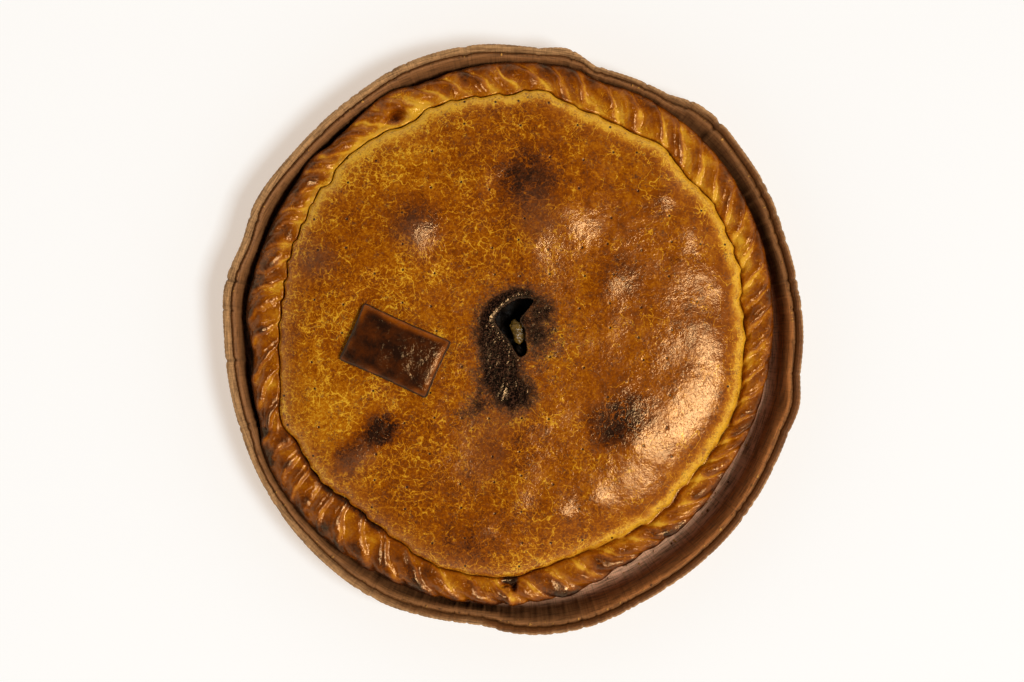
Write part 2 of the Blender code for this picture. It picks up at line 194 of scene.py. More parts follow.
class EmpanadaSizes(bpy.types.PropertyGroup):
    """Sizes of the pie and of its mould."""

    mould_radius: bpy.props.FloatProperty(
        name="Mould radius", description="Radius of the mould's rim", default=0.150, unit="LENGTH",
    )
    mould_height: bpy.props.FloatProperty(
        name="Mould height", description="Height of the mould's rim above the table",
        default=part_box("paper_mould")[1].z, unit="LENGTH",
    )
    mould_floor_radius: bpy.props.FloatProperty(
        name="Floor radius", description="Radius of the mould's flat floor",
        default=0.138, unit="LENGTH",
    )
    paper: bpy.props.FloatProperty(
        name="Paper thickness", description="Thickness of the pressed paper",
        default=0.001, unit="LENGTH",
    )
    pie_radius: bpy.props.FloatProperty(
        name="Pie radius", description="Radius of the twisted border's outside",
        default=0.137, unit="LENGTH",
    )
    lid_radius: bpy.props.FloatProperty(
        name="Lid radius", description="Radius of the seam between lid and border",
        default=0.121, unit="LENGTH",
    )
    border_top: bpy.props.FloatProperty(
        name="Border top", description="Height of the border's lobes above the table",
        default=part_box("bottom_crust")[1].z, unit="LENGTH",
    )
    crown_top: bpy.props.FloatProperty(
        name="Crown", description="Height of the lid's dome above the table, without its blisters",
        default=0.0395, unit="LENGTH",
    )
    lobe_depth: bpy.props.FloatProperty(
        name="Lobe depth", description="Depth of the grooves between the border's lobes",
        default=0.0030, unit="LENGTH",
    )
    prick_spacing: bpy.props.FloatProperty(
        name="Prick spacing", description="Distance between the prick holes in the lid",
        default=0.015, unit="LENGTH",
    )


class EmpanadaColours(bpy.types.PropertyGroup):
    """Colours of the dough as it bakes, of the filling and of the paper."""

    pale: bpy.props.FloatVectorProperty(
        name="Pale dough", description="Dough that the glaze missed or cracked away from",
        default=(0.73, 0.37, 0.022), subtype="COLOR", min=0, max=1,
    )
    gold: bpy.props.FloatVectorProperty(
        name="Gold", description="Lightly baked glaze", default=(0.43, 0.132, 0.003),
        subtype="COLOR", min=0, max=1,
    )
    amber: bpy.props.FloatVectorProperty(
        name="Amber", description="Well-baked glaze", default=(0.245, 0.054, 0.001),
        subtype="COLOR", min=0, max=1,
    )
    brown: bpy.props.FloatVectorProperty(
        name="Brown", description="Glaze on the blisters", default=(0.082, 0.018, 0.003),
        subtype="COLOR", min=0, max=1,
    )
    burnt: bpy.props.FloatVectorProperty(
        name="Burnt", description="Charred crust", default=(0.018, 0.006, 0.003),
        subtype="COLOR", min=0, max=1,
    )
    paper: bpy.props.FloatVectorProperty(
        name="Paper", description="Dry baking paper", default=(0.60, 0.32, 0.13),
        subtype="COLOR", min=0, max=1,
    )
    greased: bpy.props.FloatVectorProperty(
        name="Greased paper", description="Baking paper soaked with fat", default=(0.19, 0.062, 0.014),
        subtype="COLOR", min=0, max=1,
    )
    morsel: bpy.props.FloatVectorProperty(
        name="Morsel", description="Onion and cuttlefish that show in the vent",
        default=(0.22, 0.12, 0.018), subtype="COLOR", min=0, max=1,
    )
    table: bpy.props.FloatVectorProperty(
        name="Table", description="White surface under the mould", default=(0.46, 0.57, 0.67),
        subtype="COLOR", min=0, max=1,
    )


def sizes():
    return bpy.context.scene.empanada_sizes


def colours():
    return bpy.context.scene.empanada_colours


# Outlines

def eased(share, start, slope_in, end, slope_out):
    """Smooth curve from start to end, with a slope given at each, read at shares from 0 to 1."""
    return (
        (2 * share**3 - 3 * share**2 + 1) * start + (share**3 - 2 * share**2 + share) * slope_in
        + (3 * share**2 - 2 * share**3) * end + (share**3 - share**2) * slope_out
    )


def around(departures, angles):
    """Smooth closed curve through the departures, read at angles in degrees."""
    stops = np.array(sorted(departures), float)
    values = np.array([departures[stop] for stop in sorted(departures)], float)
    stops = np.concatenate((stops[-2:] - 360, stops, stops[:3] + 360))
    values = np.concatenate((values[-2:], values, values[:3]))
    angles = np.asarray(angles, float) % 360
    i = np.searchsorted(stops, angles, side="right") - 1
    width = stops[i + 1] - stops[i]
    share = (angles - stops[i]) / width
    slope_in = width * (values[i + 1] - values[i - 1]) / (stops[i + 1] - stops[i - 1])
    slope_out = width * (values[i + 2] - values[i]) / (stops[i + 2] - stops[i])
    return eased(share, values[i], slope_in, values[i + 1], slope_out)


def mould_edge(angles):
    return sizes().mould_radius + around(MOULD_DENTS, angles) * MM


def rim_band(angles):
    """Width of the mould's rim, which narrows where the dough presses on it."""
    free = mould_edge(angles) - sizes().pie_radius - around(PIE_DENTS, angles) * MM - WALL_GAP
    return np.clip(free, 5.3 * MM, 7.2 * MM)


def pie_edge(angles):
    wall = mould_edge(angles) - rim_band(angles) - WALL_GAP
    return np.minimum(sizes().pie_radius + around(PIE_DENTS, angles) * MM, wall)


def lobes_passed(angles):
    return LOBES * angles / 360 + around(LOBE_DRIFT, angles)


def seam_edge(angles):
    """The seam, which steps in at each lobe's inner end."""
    lobe = lobes_passed(np.asarray(angles) % 360) % 1
    tooth = np.where(lobe < 0.8, lobe / 0.8, (1 - lobe) / 0.2)
    waver = 1.1 * (0.5 - tooth) * (0.6 + 0.5 * np.sin(np.radians(angles) * 5))
    return sizes().lid_radius + (around(SEAM_DENTS, angles) + waver) * MM


def lid_edge(angles):
    """The lid's edge, off the border by a gap that nearly closes where the dough has baked together."""
    turn = np.radians(angles)
    lobe = lobes_passed(np.asarray(angles) % 360) % 1
    loose = np.sin(math.pi * lobe) ** 3 * (0.7 + 0.3 * np.sin(7 * turn))
    gap = 0.05 + 0.5 * loose + 0.08 * np.sin(41 * turn)
    return seam_edge(angles) - np.maximum(gap, 0.05) * MM


def middle():
    """Middle of the nominal circle, off the origin because the mould's outline is dented."""
    angles = np.arange(0, 360, 4)
    rim = mould_edge(angles)
    across = rim * np.cos(np.radians(angles))
    along = rim * np.sin(np.radians(angles))
    return -np.array([(across.min() + across.max()) / 2, (along.min() + along.max()) / 2, 0.0])


def step(low, high, value):
    """0 below low, 1 above high and smooth between them."""
    share = np.clip((value - low) / (high - low), 0, 1)
    return share * share * (3 - 2 * share)


def stretch(angles, start, full, last, end):
    """1 from full to last, 0 before start and after end, in degrees, and smooth between them."""
    return step(start, full, angles) * step(end, last, angles)


def lumps(points, size, seed=0):
    """Smooth noise from about -1 to 1 at each point, with bumps of about this size."""
    order = np.random.default_rng(3).permutation(256)
    slopes = np.random.default_rng(4).normal(size=(256, 3))
    slopes /= np.linalg.norm(slopes, axis=1, keepdims=True)
    moved = points / size + seed * 7.31
    cell = np.floor(moved).astype(int)
    inside = moved - cell
    ease = inside**3 * (inside * (inside * 6 - 15) + 10)
    result = np.zeros(points.shape[:-1])
    for corner in np.ndindex(2, 2, 2):
        at = cell + corner
        pick = order[(order[(order[at[..., 0] & 255] + at[..., 1]) & 255] + at[..., 2]) & 255]
        share = np.prod(np.where(corner, ease, 1 - ease), axis=-1)
        result += share * np.sum(slopes[pick] * (inside - corner), axis=-1)
    return result * 1.6


def patches(x, y, table):
    """Sum of soft oval patches, each with its place, two radii, turn and strength."""
    result = np.zeros_like(x)
    for place_x, place_y, radius_a, radius_b, turn, strength in table:
        c, s = math.cos(math.radians(turn)), math.sin(math.radians(turn))
        dx, dy = x / MM - place_x, y / MM - place_y
        away = np.hypot((dx * c + dy * s) / radius_a, (dy * c - dx * s) / radius_b)
        result += strength * np.exp(-(away**2.6) * 0.9)
    return result


# Lid surface

def lid_edge_height(angles):
    return sizes().border_top - around(SEAM_SINK, angles) * MM


def lid_share(x, y):
    """How far out a place is, from 0 in the lid's middle to 1 at its edge."""
    angles = np.degrees(np.arctan2(y, x))
    reach, edge = np.hypot(x, y), lid_edge(angles)
    even = sizes().lid_radius + around(SEAM_DENTS, angles) * MM
    return reach / (even + (edge - even) * step(0.90, 1.0, reach / edge))


def lid_height(x, y):
    """Height of the lid's upper face, with its dome and blisters."""
    share = np.clip(lid_share(x, y), 0, 1)
    edge = lid_edge_height(np.degrees(np.arctan2(y, x)))
    dome = edge + (sizes().crown_top - edge) * (1 - share**DOME_FLATNESS) ** 0.5
    rise = np.zeros_like(x)
    for place_x, place_y, radius, height in BLISTERS:
        away = np.hypot(x - place_x * MM, y - place_y * MM) / (radius * MM)
        rise += height * MM * np.exp(-1.6 * away**2)
    return dome + rise * (1 - share**8)


def lid_under(share):
    """Height of the lid's underside, a plain dome that lies on the bottom crust's ledge at its edge."""
    rest = LEDGE_HEIGHT + 0.1 * MM + TOUCH_GAP
    crown = sizes().crown_top - LID_THICKNESS
    return rest + (crown - rest) * (1 - np.clip(share, 0, 1) ** 3) ** 0.6


def vent_loop(count):
    """Torn edge of the vent as a closed smooth curve of evenly spaced points, its elbow half way round."""
    corners = np.array(VENT_OUTLINE) * MM
    after = np.roll(corners, -1, axis=0)
    slope = (after - np.roll(corners, 1, axis=0)) / 2
    share = np.linspace(0, 1, 40, endpoint=False)[:, None, None]
    curve = eased(share, corners, slope, after, np.roll(slope, -1, axis=0))
    curve = curve.transpose(1, 0, 2).reshape(-1, 2)
    curve = np.roll(curve, -int(curve[:, 0].argmin()), axis=0)
    closed = np.vstack((curve, curve[:1]))
    run = np.concatenate(([0], np.cumsum(np.linalg.norm(np.diff(closed, axis=0), axis=1))))
    wanted = ((np.arange(count) / count + 0.5) % 1) * run[-1]
    return np.stack((np.interp(wanted, run, closed[:, 0]), np.interp(wanted, run, closed[:, 1])), axis=1)


# Modelling

def named(name):
    piece = bpy.context.active_object
    piece.name = name
    piece.data.name = name
    return piece


def points_of(mesh):
    """Places of a mesh's points, in rows of three numbers."""
    points = np.empty(len(mesh.vertices) * 3)
    mesh.vertices.foreach_get("co", points)
    return points.reshape(-1, 3)


def move_points(mesh, points):
    mesh.vertices.foreach_set("co", points.ravel())
    mesh.update()


def paint(mesh, masks):
    """Gives each point of a mesh its four masks, which the materials read."""
    layer = mesh.attributes.new("masks", "FLOAT_COLOR", "POINT")
    layer.data.foreach_set("color", masks.ravel())
    mesh.update()


def sleeve(name, sectors, rings):
    """Flat grid of sectors by rings, ready to be sculpted into a round piece."""
    bpy.ops.object.select_all(action="DESELECT")
    bpy.ops.mesh.primitive_grid_add(
        x_subdivisions=sectors, y_subdivisions=rings - 1, size=1, location=(0, 0, 0),
    )
    return named(name)


def sculpt(piece, grid, masks=None):
    """Wraps a sleeve round by moving its points to their places in a grid, paints it and sews it up."""
    sectors, rings = grid.shape[:2]
    points = points_of(piece.data)
    sector = np.rint((points[:, 0] + 0.5) * sectors).astype(int) % sectors
    ring = np.rint((points[:, 1] + 0.5) * (rings - 1)).astype(int)
    move_points(piece.data, grid[sector, ring] + middle())
    if masks is not None:
        paint(piece.data, masks[sector, ring])
    bpy.ops.object.mode_set(mode="EDIT")
    bpy.ops.mesh.select_mode(type="VERT")
    bpy.ops.mesh.select_all(action="SELECT")
    bpy.ops.mesh.remove_doubles(threshold=0.001 * MM)
    bpy.ops.object.mode_set(mode="OBJECT")


def close_ends(piece, join=False):
    """Closes a sleeve's two open ends: each with a face of its own, or joined to each other."""
    bpy.context.view_layer.objects.active = piece
    bpy.ops.object.mode_set(mode="EDIT")
    bpy.ops.mesh.select_mode(type="EDGE")
    bpy.ops.mesh.select_all(action="DESELECT")
    bpy.ops.mesh.select_non_manifold(extend=False)
    if join:
        bpy.ops.mesh.bridge_edge_loops()
    else:
        bpy.ops.mesh.fill_holes(sides=0)
    bpy.ops.mesh.select_all(action="SELECT")
    bpy.ops.mesh.normals_make_consistent(inside=False)
    bpy.ops.object.mode_set(mode="OBJECT")


def finished(piece, material, slot, *nodes, smooth=60):
    """Shades a piece, gives it its material, sets it under the root and hides the solids of the frame that
    it stands for.
    """
    bpy.ops.object.select_all(action="DESELECT")
    piece.select_set(True)
    bpy.context.view_layer.objects.active = piece
    bpy.ops.object.shade_smooth_by_angle(angle=math.radians(smooth))
    piece.data.materials.clear()
    piece.data.materials.append(material)
    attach(piece, "root")
    if nodes:
        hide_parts(*nodes)


def smoothed(points, steps):
    """Rows of points along the first axis, with each stretch divided into steps along a smooth curve."""
    rows = []
    last = len(points) - 1
    for i, count in enumerate(steps):
        before, start = points[max(i - 1, 0)], points[i]
        end, after = points[i + 1], points[min(i + 2, last)]
        for share in np.arange(count) / count:
            rows.append(eased(share, start, (end - before) / 2, end, (after - start) / 2))
    rows.append(points[-1])
    return np.array(rows)


def turned_grid(radius, height, angles):
    """Grid of sectors by rings from radii and heights of the same layout."""
    turn = np.radians(angles)[:, None]
    return np.stack((radius * np.cos(turn), radius * np.sin(turn), height), axis=2)


# Node helpers

def wire(tree, value, socket):
    if isinstance(value, bpy.types.NodeSocket):
        tree.links.new(value, socket)
    else:
        socket.default_value = value


def add_node(tree, kind, inputs=None, **settings):
    """Node of a kind with its settings, each named or numbered input given a value or wired."""
    made = tree.nodes.new("ShaderNode" + kind)
    for key, value in settings.items():
        setattr(made, key, value)
    for key, value in (inputs or {}).items():
        wire(tree, value, made.inputs[key])
    return made


def maths(tree, operation, a, b=0.0, clamp=False):
    return add_node(tree, "Math", {0: a, 1: b}, operation=operation, use_clamp=clamp).outputs[0]


def chained(tree, operation, values):
    """One number from several, each taken together with what the ones before it gave."""
    result = values[0]
    for value in values[1:]:
        result = maths(tree, operation, result, value)
    return result


def total(tree, *values):
    return chained(tree, "ADD", values)


def times(tree, *values):
    return chained(tree, "MULTIPLY", values)


def less(tree, *values):
    return chained(tree, "SUBTRACT", values)


def most(tree, *values):
    return chained(tree, "MAXIMUM", values)


def vector_maths(tree, operation, inputs, output=0):
    return add_node(tree, "VectorMath", inputs, operation=operation).outputs[output]


def span(tree, value, low, high, to_low=0.0, to_high=1.0, smooth=True):
    """Value mapped from one span to another, held at its ends."""
    kind = "SMOOTHSTEP" if smooth else "LINEAR"
    inputs = {"Value": value, "From Min": low, "From Max": high, "To Min": to_low, "To Max": to_high}
    return add_node(tree, "MapRange", inputs, interpolation_type=kind).outputs["Result"]


def opaque(colour):
    return (*colour, 1.0)


def blend(tree, share, a, b):
    """Colour between two, each a socket or red, green and blue."""
    made = add_node(tree, "Mix", data_type="RGBA")
    wire(tree, share, made.inputs[0])
    for value, socket in ((a, made.inputs[6]), (b, made.inputs[7])):
        wire(tree, value if isinstance(value, bpy.types.NodeSocket) else opaque(value), socket)
    return made.outputs[2]


def speckle(tree, coords, size, detail=3.0, roughness=0.55, distortion=0.0):
    """Noise of about this size in metres."""
    inputs = {
        "Vector": coords, "Scale": 1 / size, "Detail": detail, "Roughness": roughness,
        "Distortion": distortion,
    }
    return add_node(tree, "TexNoise", inputs).outputs["Fac"]


def off_middle(tree, value, amount):
    """Noise about 0 in place of 0.5, times an amount."""
    return times(tree, less(tree, value, 0.5), amount)


def uneven(tree, coords, amount, size, *texture):
    """Noise about 0 of a size in metres, times an amount."""
    return off_middle(tree, speckle(tree, coords, size, *texture), amount)


def polar(tree, coords, along, across):
    """Coordinates in which noise of size 1 is stretched to one size round the pie and another outwards."""
    flat = vector_maths(tree, "MULTIPLY", {0: coords, 1: (1, 1, 0)})
    heading = vector_maths(tree, "NORMALIZE", {0: flat})
    heading = vector_maths(tree, "SCALE", {0: heading, "Scale": WALL_REACH / along})
    reach = vector_maths(tree, "LENGTH", {0: coords}, "Value")
    reach = add_node(tree, "CombineXYZ", {2: maths(tree, "DIVIDE", reach, across)}).outputs[0]
    return vector_maths(tree, "ADD", {0: heading, 1: reach})


def new_material(name):
    """Material with its node tree, its principled shader and its object coordinates."""
    material = bpy.data.materials.new(name)
    material.use_nodes = True
    tree = material.node_tree
    coords = add_node(tree, "TexCoord").outputs["Object"]
    return material, tree, tree.nodes["Principled BSDF"], coords


def masks_of(tree):
    """The four masks painted on a piece."""
    attribute = add_node(tree, "Attribute", attribute_name="masks")
    parts = add_node(tree, "SeparateColor", {0: attribute.outputs["Color"]})
    return parts.outputs[0], parts.outputs[1], parts.outputs[2], attribute.outputs["Alpha"]


def group_sockets(tree, inputs, outputs):
    for kind, name in inputs:
        tree.interface.new_socket(name, in_out="INPUT", socket_type="NodeSocket" + kind)
    for kind, name in outputs:
        tree.interface.new_socket(name, in_out="OUTPUT", socket_type="NodeSocket" + kind)
    return tree.nodes.new("NodeGroupInput"), tree.nodes.new("NodeGroupOutput")


def place_group(tree, name, inputs):
    made = tree.nodes.new("ShaderNodeGroup")
    made.node_tree = bpy.data.node_groups[name]
    for key, value in inputs.items():
        wire(tree, value, made.inputs[key])
    return made.outputs[0]


def build_bake_group():
    """Colour of glazed dough by how far it has baked: pale at 0, gold, amber, brown, and burnt at 1."""
    tree = bpy.data.node_groups.new("dough bake", "ShaderNodeTree")
    given, result = group_sockets(tree, [("Float", "Bake")], [("Color", "Colour")])
    ramp = add_node(tree, "ValToRGB", {0: given.outputs["Bake"]})
    tones = colours()
    stops = (
        (0.0, tones.pale), (0.30, tones.gold), (0.52, tones.amber), (0.80, tones.brown),
        (1.0, tones.burnt),
    )
    elements = ramp.color_ramp.elements
    while len(elements) < len(stops):
        elements.new(0.5)
    for element, (place, colour) in zip(elements, stops):
        element.position = place
        element.color = opaque(colour)
    wire(tree, ramp.outputs["Color"], result.inputs["Colour"])


def build_vein_group():
    """Strands of pale dough that meander through a share of the glaze, as lines of 1 on 0."""
    tree = bpy.data.node_groups.new("glaze veins", "ShaderNodeTree")
    given, result = group_sockets(
        tree, [("Vector", "Place"), ("Float", "Size"), ("Float", "Width"), ("Float", "Share")],
        [("Float", "Lines")],
    )
    given = given.outputs
    scale = maths(tree, "DIVIDE", 1.0, given["Size"])
    inputs = {"Vector": given["Place"], "Scale": scale, "Detail": 3.0, "Roughness": 0.55, "Distortion": 0.4}
    field = add_node(tree, "TexNoise", inputs).outputs["Fac"]
    field = maths(tree, "ABSOLUTE", less(tree, field, 0.5))
    lines = span(tree, field, 0.0, given["Width"], 1.0, 0.0)
    coarse = maths(tree, "DIVIDE", scale, 1.7)
    inputs = {"Vector": given["Place"], "Scale": coarse, "Detail": 2.0, "Roughness": 0.55}
    regions = add_node(tree, "TexNoise", inputs).outputs["Fac"]
    limit = less(tree, 0.7, times(tree, given["Share"], 0.4))
    shown = span(tree, regions, limit, total(tree, limit, 0.1))
    wire(tree, times(tree, lines, shown), result.inputs["Lines"])


def build_crack_group():
    """Fine broken cracks along the borders of cells in the glaze, as lines of 1 on 0."""
    tree = bpy.data.node_groups.new("glaze cracks", "ShaderNodeTree")
    given, result = group_sockets(
        tree, [("Vector", "Place"), ("Float", "Size"), ("Float", "Width"), ("Float", "Share")],
        [("Float", "Lines")],
    )
    place, size = given.outputs["Place"], given.outputs["Size"]
    drift = add_node(tree, "TexNoise", {"Vector": place, "Scale": 320.0, "Detail": 3.0}).outputs["Color"]
    bent = vector_maths(tree, "SUBTRACT", {0: drift, 1: (0.5, 0.5, 0.5)})
    bent = vector_maths(tree, "SCALE", {0: bent, "Scale": times(tree, size, 0.9)})
    bent = vector_maths(tree, "ADD", {0: place, 1: bent})
    inputs = {"Vector": bent, "Scale": maths(tree, "DIVIDE", 1.0, size)}
    cells = add_node(tree, "TexVoronoi", inputs, feature="DISTANCE_TO_EDGE").outputs["Distance"]
    edge = maths(tree, "DIVIDE", times(tree, given.outputs["Width"], 0.5), size)
    lines = maths(tree, "SUBTRACT", 1.0, maths(tree, "DIVIDE", cells, edge), clamp=True)
    breaks = add_node(tree, "TexNoise", {"Vector": place, "Scale": 150.0, "Detail": 2.0}).outputs["Fac"]
    regions = add_node(tree, "TexNoise", {"Vector": place, "Scale": 28.0, "Detail": 2.0}).outputs["Fac"]
    field = total(tree, times(tree, breaks, 0.6), times(tree, regions, 0.4))
    over = less(tree, field, less(tree, 1.0, given.outputs["Share"]))
    shown = maths(tree, "MULTIPLY", over, 14.0, clamp=True)
    wire(tree, times(tree, lines, shown), result.inputs["Lines"])


# Materials

def veins(tree, coords, size, width, share):
    return place_group(tree, "glaze veins", {"Place": coords, "Size": size, "Width": width, "Share": share})


def set_relief(tree, shader, *heights):
    """Gives a surface the relief of these heights in metres."""
    inputs = {"Strength": 1.0, "Distance": 1.0, "Height": total(tree, *heights)}
    wire(tree, add_node(tree, "Bump", inputs).outputs["Normal"], shader.inputs["Normal"])


def crust_finish(tree, shader, colour, dull, shine):
    """Wires the glaze's colour and roughness, with a shine that takes on the glaze's warm tone."""
    wire(tree, colour, shader.inputs["Base Color"])
    shader.inputs["Specular IOR Level"].default_value = shine
    shader.inputs["Specular Tint"].default_value = opaque(GLAZE_SHINE)
    wire(tree, span(tree, dull, 0.0, 1.0, 0.155, 0.80, smooth=False), shader.inputs["Roughness"])


def pricks(tree, coords):
    """Prick holes on a loose square grid: masks of the hole, its dimple and the cracks that leave it."""
    flat = vector_maths(tree, "MULTIPLY", {0: coords, 1: (1, 1, 0)})
    cells = add_node(
        tree, "TexVoronoi", {"Vector": flat, "Scale": 1 / sizes().prick_spacing, "Randomness": 0.42},
        feature="F1", voronoi_dimensions="2D",
    ).outputs
    away = vector_maths(tree, "SUBTRACT", {0: flat, 1: cells["Position"]})
    reach = vector_maths(tree, "LENGTH", {0: away}, "Value")
    lots = add_node(tree, "SeparateColor", {0: cells["Color"]}).outputs
    kept = maths(tree, "GREATER_THAN", lots[0], 0.42)
    hole = times(tree, span(tree, reach, 0.35 * MM, 0.90 * MM, 1.0, 0.0), kept)
    dimple = times(tree, span(tree, reach, 0.3 * MM, 1.7 * MM, 1.0, 0.0), kept)
    parts = add_node(tree, "SeparateXYZ", {0: away}).outputs
    heading = maths(tree, "ARCTAN2", parts[1], parts[0])
    count = total(tree, maths(tree, "ROUND", times(tree, lots[1], 5.0)), 3.0)
    bend = uneven(tree, coords, 15.0, 6 * MM, 2.0)
    phase = total(tree, times(tree, heading, count, 0.5), times(tree, lots[2], 6.28), bend)
    aside = maths(tree, "ABSOLUTE", maths(tree, "SINE", phase))
    aside = maths(tree, "DIVIDE", times(tree, aside, reach, 2.0), count)
    rays = span(tree, aside, 0.14 * MM, 0.46 * MM, 1.0, 0.0)
    ends = total(tree, reach, uneven(tree, coords, 26 * MM, 3.5 * MM, 1.0))
    starred = times(tree, kept, maths(tree, "GREATER_THAN", lots[1], 0.35))
    faded = span(tree, ends, 3.0 * MM, 13.0 * MM, 0.85, 0.0)
    strong = span(tree, speckle(tree, coords, 30 * MM, 1.0), 0.36, 0.58, 0.5, 1.0)
    return hole, dimple, times(tree, rays, faded, starred, strong)


def lid_bake(tree, coords, patch, pale, rays):
    """How far the lid has baked at each place: least along its cracks, which are fewer at the right."""
    inputs = {"Place": coords, "Size": 6 * MM, "Width": 0.75 * MM, "Share": 0.52}
    cracks = place_group(tree, "glaze cracks", inputs)
    strands = most(tree, veins(tree, coords, 9 * MM, 0.013, 0.5), veins(tree, coords, 19 * MM, 0.009, 0.62))
    crazing = times(tree, veins(tree, coords, 3.5 * MM, 0.03, 0.7), 0.7)
    across = add_node(tree, "SeparateXYZ", {0: coords}).outputs[0]
    right = span(tree, across, 0.0, 60 * MM, 0.0, 0.75)
    calm = times(tree, right, span(tree, speckle(tree, coords, 30 * MM, 2.0), 0.36, 0.56, 0.3, 1.0))
    busy = less(tree, 1.0, calm)
    grain = uneven(tree, coords, 0.72, 1.3 * MM, 2.0, 0.7)
    grain = times(tree, grain, total(tree, times(tree, busy, 0.6), 0.4))
    lines = most(tree, times(tree, cracks, busy), strands, times(tree, crazing, busy), rays)
    lines = total(tree, lines, times(tree, rays, strands, 0.6))
    mottle = uneven(tree, coords, 0.30, 26 * MM)
    cloud = uneven(tree, coords, 0.75, 6 * MM, 4.0, 0.65)
    bake = total(tree, 0.515, patch, mottle, cloud, grain)
    return less(tree, bake, times(tree, lines, 0.42), times(tree, pale, 0.44))


def lid_relief(tree, shader, coords, patch, char, hole, dimple):
    """Wrinkled glaze, most on the blisters and least on the char, which is gritty, and the pricks."""
    wrinkle = maths(tree, "ABSOLUTE", uneven(tree, coords, 1.0, 6.0 * MM, 3.0, 0.55, 0.8))
    wrinkle = times(tree, maths(tree, "MINIMUM", wrinkle, 0.10), 0.20 * MM)
    fine = total(tree, wrinkle, uneven(tree, coords, 0.09 * MM, 1.5 * MM, 1.0, 0.5, 1.5))
    sooty = span(tree, char, 0.2, 0.8, 1.0, 0.15)
    raised = span(tree, patch, 0.02, 0.30, 1.0, 1.7)
    rough = uneven(tree, coords, 0.20 * MM, 4.0 * MM, 2.0, 0.5)
    gritty = times(tree, uneven(tree, coords, 0.08 * MM, 0.9 * MM, 1.0, 0.6), char)
    sunk = total(tree, times(tree, dimple, -0.07 * MM), times(tree, hole, -0.14 * MM))
    set_relief(tree, shader, times(tree, fine, sooty, raised), rough, gritty, sunk)


def lid_material():
    material, tree, shader, coords = new_material("glazed_lid_crust")
    patch, char, pale, haze = masks_of(tree)
    hole, dimple, rays = pricks(tree, coords)
    colour = place_group(tree, "dough bake", {"Bake": lid_bake(tree, coords, patch, pale, rays)})
    bloom = times(tree, haze, span(tree, speckle(tree, coords, 1.6 * MM, 3.0, 0.65), 0.35, 0.65, 0.5, 1.3))
    colour = blend(tree, bloom, colour, BLOOM)
    edge = total(tree, char, uneven(tree, coords, 1.2, 4.5 * MM, 3.0, 0.65))
    edge = total(tree, edge, uneven(tree, coords, 1.5, 0.9 * MM, 2.0, 0.6))
    burnt = span(tree, edge, 0.30, 0.85)
    singed = blend(tree, span(tree, speckle(tree, coords, 1.4 * MM, 3.0, 0.7), 0.35, 0.65), *SINGED)
    colour = blend(tree, span(tree, edge, 0.0, 0.55, 0.0, 0.8), colour, singed)
    soot = blend(tree, span(tree, speckle(tree, coords, 0.9 * MM, 2.0, 0.7), 0.45, 0.68), *SOOT)
    colour = blend(tree, burnt, colour, soot)
    # Prick holes darkened: painted shade inside the holes
    colour = blend(tree, hole, colour, PRICK_HOLE_SHADE)
    patchy = span(tree, speckle(tree, coords, 14 * MM, 3.0), 0.35, 0.7, 0.02, 0.14)
    crust_finish(tree, shader, colour, most(tree, times(tree, burnt, 0.08), patchy), 0.55)
    lid_relief(tree, shader, coords, patch, char, hole, dimple)
    return material


def border_material():
    material, tree, shader, coords = new_material("glazed_border_crust")
    groove, crease, tone, side = masks_of(tree)
    mottle = uneven(tree, coords, 0.34, 18 * MM)
    cloud = uneven(tree, coords, 0.62, 5 * MM, 5.0, 0.65)
    grain = uneven(tree, coords, 0.45, 1.2 * MM, 3.0, 0.7)
    lines = times(tree, veins(tree, coords, 5 * MM, 0.022, 0.6), 0.26)
    bake = total(tree, 0.56, mottle, cloud, grain, tone)
    bake = less(tree, bake, times(tree, groove, 0.10), times(tree, crease, 0.36), lines)
    colour = place_group(tree, "dough bake", {"Bake": bake})
    ragged = total(tree, side, uneven(tree, coords, 0.9, 5 * MM, 4.0, 0.6))
    unglazed = span(tree, ragged, 0.35, 0.85)
    bare = blend(tree, speckle(tree, coords, 2 * MM, 4.0, 0.7), *BARE_DOUGH)
    colour = blend(tree, times(tree, unglazed, 0.85), colour, bare)
    patchy = span(tree, speckle(tree, coords, 10 * MM, 3.0), 0.35, 0.7, 0.0, 0.12)
    crust_finish(tree, shader, colour, most(tree, unglazed, patchy), 0.75)
    fine = uneven(tree, coords, 0.16 * MM, 1.0 * MM, 2.0, 0.6, 0.8)
    rough = uneven(tree, coords, 0.42 * MM, 3.0 * MM, 2.0, 0.55)
    set_relief(tree, shader, fine, rough)
    return material


def tag_material():
    material, tree, shader, coords = new_material("dark_glazed_tag")
    side, rim, _, _ = masks_of(tree)
    cloud = uneven(tree, coords, 0.60, 9 * MM, 5.0, 0.62)
    grain = uneven(tree, coords, 0.20, 1.1 * MM, 3.0, 0.7)
    # The side mask darkens the tag: painted shade at its foot and edge
    bake = total(tree, 0.93, cloud, grain, times(tree, rim, -0.50), times(tree, side, 0.5))
    colour = place_group(tree, "dough bake", {"Bake": bake})
    crust_finish(tree, shader, colour, times(tree, side, 0.2), 0.38)
    fine = uneven(tree, coords, 0.10 * MM, 0.8 * MM, 3.0, 0.6)
    rough = uneven(tree, coords, 0.7 * MM, 3.5 * MM, 3.0, 0.55)
    set_relief(tree, shader, fine, rough)
    return material


